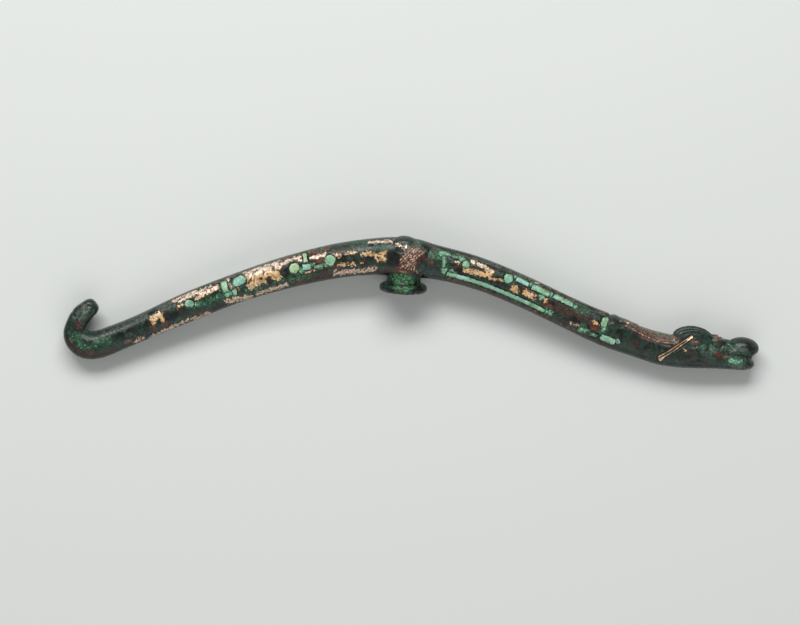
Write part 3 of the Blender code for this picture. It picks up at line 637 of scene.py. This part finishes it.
def ring(s, height, place, lean, lowest, width):
    """One on a ring round the bar, above its lowest height."""
    return line_depth(np.abs(s - place - lean * height), width) * (height > lowest)


def sunk(s, height, row, corner=0.6):
    """One inside a tablet with a steep edge, nothing outside it."""
    return np.clip(-tablet(s, height, row, corner) / 0.3, 0, 1)


def horn_place(s, height):
    """Place and height against the horn's middle, as shares of its half sizes."""
    return (s - HORN[0]) / HORN[2], (height - HORN[1]) / HORN[3]


def carving(s, height, z, stroke):
    """How far the fine carving stands proud of the smooth casting, in millimetres."""
    out = STROKE_PROUD * line_depth(stroke, STROKE_SLOPE)
    for proud, width, *row in CARVED_ARCS:
        out += proud * line_depth(arc(s, height, *row), width)
    for proud, width, *row in CARVED_LINES:
        out += proud * line_depth(tablet(s, height, row), width)
    for proud, width, *row in CARVED_RINGS:
        out += proud * ring(s, height, *row, width)
    horn = np.hypot(*horn_place(s, height))
    behind = np.degrees(np.arctan2(height - HORN[1], s - HORN[0]))
    for proud, width, share, begins in CARVED_COILS:
        out += proud * line_depth((horn - share) * COIL_SCALE, width) * (behind > begins)
    out -= CORE_DEPTH * np.clip((CORE_SHARE - horn) / 0.1, 0, 1)
    out -= PIT_DEPTH * sunk(s, height, PIT, 1.0)
    out *= np.abs(z) > CARVED_FROM
    for proud, width, *row in WHOLE_RINGS:
        out += proud * ring(s, height, *row, width)
    out -= DIP_DEPTH * line_depth(arc(s, height, *NOSE_DIP), 0.3)
    return out - PLATE_DEPTH * sunk(s, height, PLATE)


def weathering(co):
    """Low, uneven corrosion, at most one high."""
    out = np.empty(len(co))
    for i, p in enumerate(co):
        v = Vector(p)
        out[i] = noise.noise(v * WAVES[0]) * 0.5 + noise.noise(v * WAVES[1]) * 0.5
    return out


def fuse(mesh):
    """The lumps of the casting fused into one fine, even mesh."""
    rough = mesh_object("bronze_rough", mesh)
    remesh = rough.modifiers.new("fuse", "REMESH")
    remesh.mode = "VOXEL"
    remesh.voxel_size = VOXEL
    soften = rough.modifiers.new("soften", "SMOOTH")
    soften.factor = SMOOTHING
    soften.iterations = SMOOTH_ROUNDS
    ready = rough.evaluated_get(bpy.context.evaluated_depsgraph_get())
    data = bpy.data.meshes.new_from_object(ready)
    bpy.data.objects.remove(rough)
    return new_object("bronze_fine", data)


def vectors(items, key):
    """One vector for each vertex, as rows of numbers."""
    rows = np.empty(len(items) * 3)
    items.foreach_get(key, rows)
    return rows.reshape(-1, 3)


def keep(data, name, values):
    """One value for each vertex, kept on the mesh for its material."""
    layer = data.attributes.new(name, "FLOAT", "POINT")
    layer.data.foreach_set("value", values.astype(np.float32))


def relief_of(s, height, z, co, stones, stroke, green):
    """How far each vertex of the casting moves out along its normal, in millimetres."""
    crust = BARE_RELIEF + CRUST_RELIEF * np.clip(-green / CRUST_EDGE, 0, 1)
    proud = carving(s, height, z, stroke) + weathering(co) * crust
    proud *= np.clip(stones / NEAR_STONE, 0, 1)
    return proud - RECESS_DEPTH * np.clip(0.5 - (stones - STONE_CLEAR) / RECESS_EDGE, 0, 1)


def make_casting():
    """The fine bronze casting, with its zones of colour kept as attributes."""
    mesh = bmesh.new()
    add_bar(mesh)
    add_button(mesh)
    add_head(mesh)
    add_mask(mesh)
    item = fuse(mesh)
    data = item.data
    co = vectors(data.vertices, "co") / MM
    normal = vectors(data.vertex_normals, "vector")
    s, height, z = along_bar(co)
    seen_s, seen_height = as_seen(co)
    stones = stone_zone(s, height, z)
    stroke = stroke_zone(seen_s, seen_height)
    green = zone(seen_s, seen_height, z, GREEN)
    proud = relief_of(s, height, z, co, stones, stroke, green)
    co = (co + normal * proud[:, None]) * MM
    data.vertices.foreach_set("co", co.ravel())

    fields = {"stroke": np.where(np.abs(z) > STROKE_FROM, stroke - STROKE_HALF, FAR),
              "green": green, "joint": stones, "height": seen_height}
    for name, rows in ZONES:
        every = len(rows) if name == "dark" else HIDDEN_EVERY
        fields[name] = zone(seen_s, seen_height, z, rows, every)
    # Leaf and crumbs don't wrap over the top or the underside
    heading = np.interp(s, LINE[:, 0], LINE[:, 3])
    upward = normal[:, 1] * np.cos(heading) - normal[:, 0] * np.sin(heading)
    past_edge = np.clip((np.abs(upward) - FACING_EDGE) / (1 - FACING_EDGE), 0, 1) * PAST_EDGE
    for name in ("gold", "red", "crumb"):
        fields[name] += past_edge
    for name, values in fields.items():
        keep(data, name, values)
    data.transform(LYING)
    data.shade_smooth()
    return item


def outline_of(row, grow):
    """A stone's outline in the bar's frame, with rounded corners."""
    half_long = row[3] / 2 + grow
    half_broad = row[4] / 2 + grow
    radius = min(half_long, half_broad) * row[6]
    points = []
    for middle in (45, 135, 225, 315):
        cx = copysign(half_long - radius, cos(radians(middle)))
        cy = copysign(half_broad - radius, sin(radians(middle)))
        for step in range(-45, 46, 15):
            angle = radians(middle + step)
            points.append((cx + radius * cos(angle), cy + radius * sin(angle)))
    return points


def fill_outline(row):
    """A stone's or strip's flat outline, filled and cut into a fine grid."""
    mesh = bmesh.new()
    mesh.faces.new([mesh.verts.new((x, y, 0.0)) for x, y in outline_of(row, -STONE_CLEAR)])
    for facing, length in (((1.0, 0.0, 0.0), row[3]), ((0.0, 1.0, 0.0), row[4])):
        cuts = max(3, round(length / INLAY_GRID))
        for k in range(1, cuts):
            at = Vector(facing) * (length * k / cuts - length / 2)
            bmesh.ops.bisect_plane(mesh, geom=mesh.verts[:] + mesh.edges[:] + mesh.faces[:],
                                   plane_co=at, plane_no=facing)
    return mesh


def shape_strip(mesh, half):
    """The strip's taper, and the flare and bend of its claw end."""
    for v in mesh.verts:
        flare = FLARE * max(0.0, -v.co.x / half - FLARE_FROM)
        v.co.y *= STRIP_BREADTH - STRIP_TAPER * v.co.x + flare
        v.co.y -= CLAW_BEND * max(0.0, -v.co.x - CLAW_FROM) ** 1.5


def chip_stone(mesh, seed):
    """A stone's uneven, chipped outline."""
    for v in mesh.verts:
        place = Vector((v.co.x, v.co.y, seed)) * CHIP_SCALE
        v.co.x += CHIPPED * noise.noise(place)
        v.co.y += CHIPPED * noise.noise(place + Vector(CHIP_STEP))


def ground_under(row, s, height, across):
    """Half width of the skin that a piece lies on; the strip also lies over the horn."""
    ground = skin(s, height)
    if row is STRIP:
        u, v = horn_place(s, height)
        horn = HORN_OUT + HORN_THICK * np.sqrt(np.clip(1 - u ** 2 - v ** 2, 0, 1))
        ground = np.maximum(ground, horn) - SEAM_DEPTH * line_depth(across, SEAM_HALF)
    return ground


def shade_of(row, s, local):
    """A stone's hue, or how far a place is from the strip's bright line."""
    if row is STRIP:
        claw = np.maximum(local[:, 0] - CLAW_FROM, 0)
        return np.minimum(np.abs(local[:, 1]) / BRIGHT_HALF + claw, 1.0)
    shade = np.full(len(s), row[7])
    if row[0] == "border_stone":
        shade += BLUE_MORE * line_depth(s - BLUE_AT, BLUE_HALF) - DULL_LESS * (s > DULL_FROM)
    return shade


def make_inlay(name, row, side, proud):
    """A stone or strip: its filled outline shaped, thickened and laid on the bar."""
    mesh = fill_outline(row)
    if row is STRIP:
        shape_strip(mesh, row[3] / 2)
    else:
        chip_stone(mesh, row[1])
    bmesh.ops.recalc_face_normals(mesh, faces=mesh.faces[:])
    out = bmesh.ops.extrude_face_region(mesh, geom=mesh.faces[:])
    top = {v for v in out["geom"] if isinstance(v, bmesh.types.BMVert)}
    is_top = np.array([v in top for v in mesh.verts])
    lean = radians(row[5])
    local = np.array([v.co[:2] for v in mesh.verts])
    s = row[1] + local[:, 0] * cos(lean) - local[:, 1] * sin(lean)
    height = row[2] + local[:, 0] * sin(lean) + local[:, 1] * cos(lean)
    shrunk = (0, 0, row[3] - 2 * STONE_CLEAR, row[4] - 2 * STONE_CLEAR, 0)
    edge = tablet(local[:, 0], local[:, 1], shrunk, row[6])
    rounding = INLAY_ROUNDING * np.exp(np.minimum(edge, 0) / INLAY_ROUNDING)
    z = ground_under(row, s, height, local[:, 1]) + proud - rounding
    z = np.where(is_top, z, skin(s, height) - STONE_THICK)
    place = beside(s, height, z * side) * MM
    for v, co in zip(mesh.verts, place):
        v.co = co
    bmesh.ops.recalc_face_normals(mesh, faces=mesh.faces[:])
    item = mesh_object(name + "_fine", mesh)
    item.data.transform(LYING)
    item.data.shade_smooth()
    item.data.set_sharp_from_angle(angle=radians(SHARP_FROM))
    worn = WORN_RIM if row[0] in WORN_STONES else 0.0
    keep(item.data, "rim", np.where(is_top, -edge - worn, 0.0))
    keep(item.data, "hue", shade_of(row, s, local))
    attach(item, "root")
    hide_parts(name)
    return item


def group(name, inputs, outputs):
    """An empty node group: an input without a value is a vector, all others are single values."""
    tree = bpy.data.node_groups.new(name, "ShaderNodeTree")
    for label, value in inputs:
        kind = "NodeSocketVector" if value is None else "NodeSocketFloat"
        socket = tree.interface.new_socket(label, in_out="INPUT", socket_type=kind)
        if value is not None:
            socket.default_value = value
    for label in outputs:
        tree.interface.new_socket(label, in_out="OUTPUT", socket_type="NodeSocketFloat")
    return tree, tree.nodes.new("NodeGroupInput"), tree.nodes.new("NodeGroupOutput")


def fill(tree, made, inputs):
    """A node's inputs set to values or joined to sockets."""
    for label, value in inputs.items():
        if isinstance(value, bpy.types.NodeSocket):
            tree.links.new(value, made.inputs[label])
        else:
            made.inputs[label].default_value = value


def node(tree, kind, inputs, **settings):
    """A new node with its settings and inputs."""
    made = tree.nodes.new(kind)
    for label, value in settings.items():
        setattr(made, label, value)
    fill(tree, made, inputs)
    return made


def maths(tree, operation, *terms):
    """One sum on values or sockets; gives the socket of its answer."""
    return node(tree, "ShaderNodeMath", dict(enumerate(terms)), operation=operation).outputs[0]


def noise_at(tree, vector, scale, detail, roughness):
    """A noise value at a vector socket."""
    inputs = {"Vector": vector, "Scale": scale, "Detail": detail, "Roughness": roughness}
    return node(tree, "ShaderNodeTexNoise", inputs).outputs["Fac"]


def moved(tree, vector, step):
    """A vector socket moved by a fixed step or by the value of a socket."""
    return node(tree, "ShaderNodeVectorMath", {0: vector, 1: step}, operation="ADD").outputs[0]


def ramp(tree, value, low, high, to_low=0.0, to_high=1.0):
    """A value stretched smoothly between two limits, and held there."""
    inputs = {"Value": value, "From Min": low, "From Max": high, "To Min": to_low, "To Max": to_high}
    made = node(tree, "ShaderNodeMapRange", inputs, interpolation_type="SMOOTHSTEP")
    return made.outputs["Result"]


def mixed(tree, share, first, second):
    """One colour over another by a share's socket; each is a socket or a colour."""
    first, second = [(*c, 1.0) if isinstance(c, tuple) else c for c in (first, second)]
    made = node(tree, "ShaderNodeMix", {0: share, 6: first, 7: second}, data_type="RGBA")
    return made.outputs[2]


def coat(tree, base, mask, strength, colour):
    """A colour laid over a base where a mask is, at some strength."""
    return mixed(tree, maths(tree, "MULTIPLY", mask, strength), base, colour)


def bumped(tree, relief, strength, distance):
    """Fine relief from a height socket, as a normal."""
    inputs = {"Height": relief, "Strength": strength, "Distance": distance}
    return node(tree, "ShaderNodeBump", inputs).outputs[0]


def worn_edge_group():
    """A ragged mask from a distance kept on the mesh: one inside the zone, zero outside."""
    tree, given, out = group("worn_edge", (("Distance", 1.0), ("Vector", None), ("Reach", 0.5),
                                           ("Softness", 0.12), ("Scale", 900.0)), ("Mask",))
    given = given.outputs
    coarse = noise_at(tree, given["Vector"], given["Scale"], 5.0, 0.62)
    shift = maths(tree, "MULTIPLY", maths(tree, "SUBTRACT", coarse, 0.5), 2.0)
    ragged = maths(tree, "MULTIPLY_ADD", shift, given["Reach"], given["Distance"])
    share = maths(tree, "DIVIDE", ragged, given["Softness"])
    clamp = node(tree, "ShaderNodeClamp", {"Value": maths(tree, "SUBTRACT", 0.5, share)})
    fill(tree, out, {"Mask": clamp.outputs[0]})
    return tree


def mottle_group():
    """Blotches at several scales, for patina and stone alike."""
    labels = ("Broad", "Middle", "Fine", "Specks", "Rust", "Losses", "Veins")
    tree, given, out = group("mottle", (("Vector", None), ("Seed", 0.0)), labels)
    near = moved(tree, given.outputs["Vector"], given.outputs["Seed"])
    far = moved(tree, near, (0.37, 0.11, 0.23))
    cells = node(tree, "ShaderNodeTexVoronoi", {"Vector": near, "Scale": 750.0})
    winding = maths(tree, "SUBTRACT", noise_at(tree, far, 620.0, 4.0, 0.6), 0.5)
    values = (noise_at(tree, near, 110.0, 3.0, 0.55),
              noise_at(tree, near, 480.0, 5.0, 0.65),
              noise_at(tree, near, 2100.0, 3.0, 0.6),
              ramp(tree, cells.outputs["Distance"], 0.16, 0.30, 1.0, 0.0),
              ramp(tree, noise_at(tree, far, 330.0, 5.0, 0.7), 0.54, 0.64),
              ramp(tree, noise_at(tree, far, 1250.0, 4.0, 0.6), 0.58, 0.62),
              ramp(tree, maths(tree, "ABSOLUTE", winding), 0.012, 0.050, 1.0, 0.0))
    fill(tree, out, dict(zip(labels, values)))
    return tree


def call(tree, used, **inputs):
    """The outputs of a shared group used in a material, with its inputs set or joined."""
    return node(tree, "ShaderNodeGroup", inputs, node_tree=used).outputs


def field(tree, name):
    """A value kept on the mesh."""
    return node(tree, "ShaderNodeAttribute", {}, attribute_name=name).outputs["Fac"]


def new_material(name):
    """A material with its tree, shader and the object's own coordinates."""
    material = bpy.data.materials.new(name)
    material.use_nodes = True
    tree = material.node_tree
    place = tree.nodes.new("ShaderNodeTexCoord").outputs["Object"]
    return material, tree, tree.nodes["Principled BSDF"], place


def crust_leaf(tree, fine, blotch, middle, height):
    """Bright green crust: dark leaf green with pale flecks, grass green below the bar."""
    leaf = mixed(tree, fine, (0.007, 0.032, 0.019), (0.040, 0.15, 0.070))
    crust = maths(tree, "MULTIPLY_ADD", middle, 0.06, blotch["Fine"])
    leaf = mixed(tree, ramp(tree, crust, 0.57, 0.70), leaf, (0.13, 0.34, 0.17))
    leaf = mixed(tree, ramp(tree, crust, 0.69, 0.79), leaf, (0.38, 0.62, 0.40))
    grass = mixed(tree, fine, (0.010, 0.045, 0.012), (0.12, 0.36, 0.12))
    return mixed(tree, ramp(tree, height, -5.6, -4.6, 0.5, 0.0), leaf, grass)


def gold_tone(tree, blotch, height):
    """The leaf's colour: yellow midway, pinkish above and below, tarnished and veined; the pale pink
    on the upper face is partly painted highlight, and the darker lower edge is painted shade.
    """
    # Pale pink on the upper face: partly painted highlight
    yellow = maths(tree, "MULTIPLY", ramp(tree, height, 1.0, 2.5, 1.0, 0.0),
                   ramp(tree, height, -2.8, -1.4))
    tone = mixed(tree, yellow, (0.93, 0.76, 0.61), (0.82, 0.54, 0.26))
    tone = coat(tree, tone, ramp(tree, blotch["Fine"], 0.50, 0.68), 0.55, (0.40, 0.20, 0.09))
    pale = ramp(tree, blotch["Middle"], 0.52, 0.66, 0.0, 0.6)
    tone = mixed(tree, pale, tone, (0.92, 0.76, 0.62))
    # Darker towards the lower edge: painted shade
    tone = mixed(tree, ramp(tree, height, -3.2, -2.2, 0.55, 0.0), tone, (0.46, 0.33, 0.23))
    return coat(tree, tone, blotch["Veins"], 0.7, (0.20, 0.105, 0.055))


def patina_bronze(edge, mottle):
    """Glossy dark green bronze, with its worn gold, brown, red and bright green zones."""
    material, tree, shader, place = new_material("patina_bronze")
    blotch = call(tree, mottle, Vector=place, Seed=0.0)
    height = field(tree, "height")
    broad = ramp(tree, blotch["Broad"], 0.40, 0.60)
    middle = ramp(tree, blotch["Middle"], 0.42, 0.62)
    fine = ramp(tree, blotch["Fine"], 0.38, 0.66)
    mask = {"rust": blotch["Rust"],
            "specks": maths(tree, "MULTIPLY", blotch["Specks"], middle),
            "joint": ramp(tree, field(tree, "joint"), 0.02, 0.16, 1.0, 0.0),
            "mane": ramp(tree, field(tree, "stroke"), 0.1, 0.6, 1.0, 0.0)}
    for label, (name, reach, softness, scale) in MASKS.items():
        mask[label] = call(tree, edge, Distance=field(tree, name), Vector=place, Reach=reach,
                           Softness=softness, Scale=scale)[0]

    base = mixed(tree, broad, (0.006, 0.007, 0.006), (0.014, 0.023, 0.018))
    base = mixed(tree, middle, base, (0.016, 0.044, 0.029))
    for label, strength, colour in COATS:
        if label == "green":
            colour = crust_leaf(tree, fine, blotch, middle, height)
        elif isinstance(colour[0], tuple):
            colour = mixed(tree, fine, *colour)
        base = coat(tree, base, mask[label], strength, colour)

    left = mask["gold"]
    for lost in (mask["joint"], mask["dark"], blotch["Losses"]):
        left = maths(tree, "MULTIPLY", left, maths(tree, "SUBTRACT", 1.0, lost))
    dull = ramp(tree, blotch["Middle"], 0.38, 0.64, 0.18, 0.36)
    near_joint = ramp(tree, field(tree, "joint"), 0.0, 0.6, 1.0, 0.0)
    for rough, share in ((mask["brown"], 0.18), (near_joint, 0.4), (mask["green"], 0.25),
                         (mask["crumb"], 0.2), (left, 0.14)):
        dull = maths(tree, "MULTIPLY_ADD", rough, share, dull)
    crumple = maths(tree, "MULTIPLY_ADD", left, 1.8, 0.7)
    relief = maths(tree, "MULTIPLY", blotch["Middle"], crumple)
    for raised, share in ((blotch["Fine"], 0.5), (left, 0.6), (mask["crumb"], 0.5)):
        relief = maths(tree, "MULTIPLY_ADD", raised, share, relief)
    fill(tree, shader, {"Base Color": mixed(tree, left, base, gold_tone(tree, blotch, height)),
                        "Metallic": ramp(tree, left, 0.2, 0.8, 0.0, 0.28), "Roughness": dull,
                        "Specular IOR Level": 0.38, "Normal": bumped(tree, relief, 0.9, 0.00018)})
    return material


def malachite(mottle):
    """Waxy green stone, clouded and flecked, paler and bluer from piece to piece."""
    material, tree, shader, place = new_material("malachite_stone")
    hue = field(tree, "hue")
    blotch = call(tree, mottle, Vector=place, Seed=hue)
    clouds = ramp(tree, blotch["Middle"], 0.38, 0.64)
    broad = ramp(tree, blotch["Broad"], 0.42, 0.58)
    leaf = mixed(tree, clouds, (0.18, 0.38, 0.21), (0.37, 0.59, 0.38))
    blue = mixed(tree, clouds, (0.19, 0.45, 0.35), (0.40, 0.66, 0.53))
    straw = mixed(tree, clouds, (0.26, 0.42, 0.20), (0.46, 0.62, 0.36))
    bluer = ramp(tree, maths(tree, "MULTIPLY_ADD", broad, 0.6, hue), 0.60, 1.15)
    stone = mixed(tree, bluer, leaf, blue)
    stone = mixed(tree, ramp(tree, hue, 0.05, 0.3, 1.0, 0.0), stone, straw)
    fleck = ramp(tree, blotch["Fine"], 0.58, 0.72)
    stone = coat(tree, stone, fleck, 0.55, (0.56, 0.76, 0.57))
    stone = coat(tree, stone, blotch["Rust"], 0.6, (0.070, 0.20, 0.11))

    cracks = node(tree, "ShaderNodeTexVoronoi", {"Vector": place, "Scale": 620.0},
                  feature="DISTANCE_TO_EDGE")
    crack = maths(tree, "MULTIPLY_ADD", blotch["Fine"], 0.12, cracks.outputs["Distance"])
    stone = mixed(tree, ramp(tree, crack, 0.06, 0.10, 0.6, 0.0), stone, (0.07, 0.17, 0.10))
    uneven = maths(tree, "SUBTRACT", blotch["Fine"], 0.5)
    uneven = maths(tree, "MULTIPLY_ADD", uneven, 1.1, field(tree, "rim"))
    crust = ramp(tree, uneven, 0.04, 0.24, 1.0, 0.0)
    dirt = mixed(tree, clouds, (0.020, 0.030, 0.018), (0.045, 0.17, 0.085))
    relief = maths(tree, "MULTIPLY_ADD", blotch["Fine"], 0.5, blotch["Middle"])
    relief = maths(tree, "MULTIPLY_ADD", crust, -0.4, relief)
    fill(tree, shader, {"Base Color": coat(tree, stone, crust, 0.9, dirt),
                        "Roughness": ramp(tree, blotch["Middle"], 0.3, 0.7, 0.28, 0.5),
                        "Normal": bumped(tree, relief, 0.6, 0.00014)})
    return material


def gilt(mottle):
    """Worn gilding on the strip behind the dragon's horns."""
    material, tree, shader, place = new_material("worn_gilt")
    blotch = call(tree, mottle, Vector=place, Seed=0.3)
    wear = ramp(tree, blotch["Middle"], 0.52, 0.62)
    fine = ramp(tree, blotch["Fine"], 0.4, 0.65)
    bright = mixed(tree, fine, (0.46, 0.28, 0.14), (0.86, 0.68, 0.48))
    seam = ramp(tree, field(tree, "hue"), 0.35, 0.75, 1.0, 0.0)
    bright = mixed(tree, seam, bright, (0.045, 0.028, 0.018))
    fill(tree, shader, {"Base Color": coat(tree, bright, wear, 0.8, (0.05, 0.04, 0.028)),
                        "Metallic": ramp(tree, wear, 0.0, 1.0, 0.65, 0.1), "Roughness": 0.38,
                        "Normal": bumped(tree, blotch["Middle"], 0.6, 0.0001)})
    return material


def add_floor():
    """A wide plain floor of pale studio paper just under the hook."""
    material = bpy.data.materials.new("studio_floor")
    material.use_nodes = True
    tree = material.node_tree
    fill(tree, tree.nodes["Principled BSDF"], {"Base Color": PAPER, "Roughness": 0.9})
    mesh = bmesh.new()
    bmesh.ops.create_grid(mesh, x_segments=1, y_segments=1, size=FLOOR_HALF)
    floor = mesh_object("studio_floor", mesh)
    floor.data.materials.append(material)


def add_lamp(name, place, size, power):
    """A soft rectangular lamp that the camera doesn't see, aimed at the hook."""
    light = bpy.data.lights.new(name, "AREA")
    light.shape = "RECTANGLE"
    light.size, light.size_y = size
    light.energy = power
    lamp = new_object(name, light)
    lamp.visible_camera = False
    lamp.location = place
    towards = Vector(LAMP_TARGET) - Vector(place)
    lamp.rotation_euler = towards.to_track_quat("-Z", "Y").to_euler()


def add_camera():
    """The photograph's view: nearly straight down on the lying hook."""
    distance = EYE_FAR * MM
    view = bpy.data.cameras.new("camera")
    view.sensor_width = SENSOR
    view.lens = SENSOR * distance / VIEW_WIDTH
    view.clip_start = 0.01
    camera = new_object("camera", view)
    lean = radians(EYE_LEAN)
    away = Vector((0.0, sin(lean), cos(lean)))
    camera.location = Vector(EYE_TARGET) * MM + away * distance
    camera.rotation_euler = (-lean, 0.0, 0.0)
    bpy.context.scene.camera = camera


def add_studio():
    """The floor, the lamps, an even sky and the camera."""
    add_floor()
    for row in LAMPS:
        add_lamp(*row)
    world = bpy.data.worlds.new("studio")
    world.use_nodes = True
    tree = world.node_tree
    fill(tree, tree.nodes["Background"], {"Color": SKY, "Strength": SKY_STRENGTH})
    bpy.context.scene.world = world
    bpy.context.scene.view_settings.view_transform = "Standard"
    add_camera()


edge = worn_edge_group()
mottle = mottle_group()
casting = make_casting()
casting.data.materials.clear()
casting.data.materials.append(patina_bronze(edge, mottle))
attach(casting, "root")
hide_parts("bronze_casting")

stone_look = malachite(mottle)
gilt_look = gilt(mottle)
for row in STONES + (STRIP,):
    for side_name, side in (("right", 1), ("left", -1)):
        if side < 0 and row[0] not in HIDDEN_STONES and row is not STRIP:
            continue
        gilded = row is STRIP
        proud = STRIP_PROUD if gilded else STONE_PROUD
        inlay = make_inlay(side_name + "_" + row[0], row, side, proud)
        inlay.data.materials.append(gilt_look if gilded else stone_look)

add_studio()
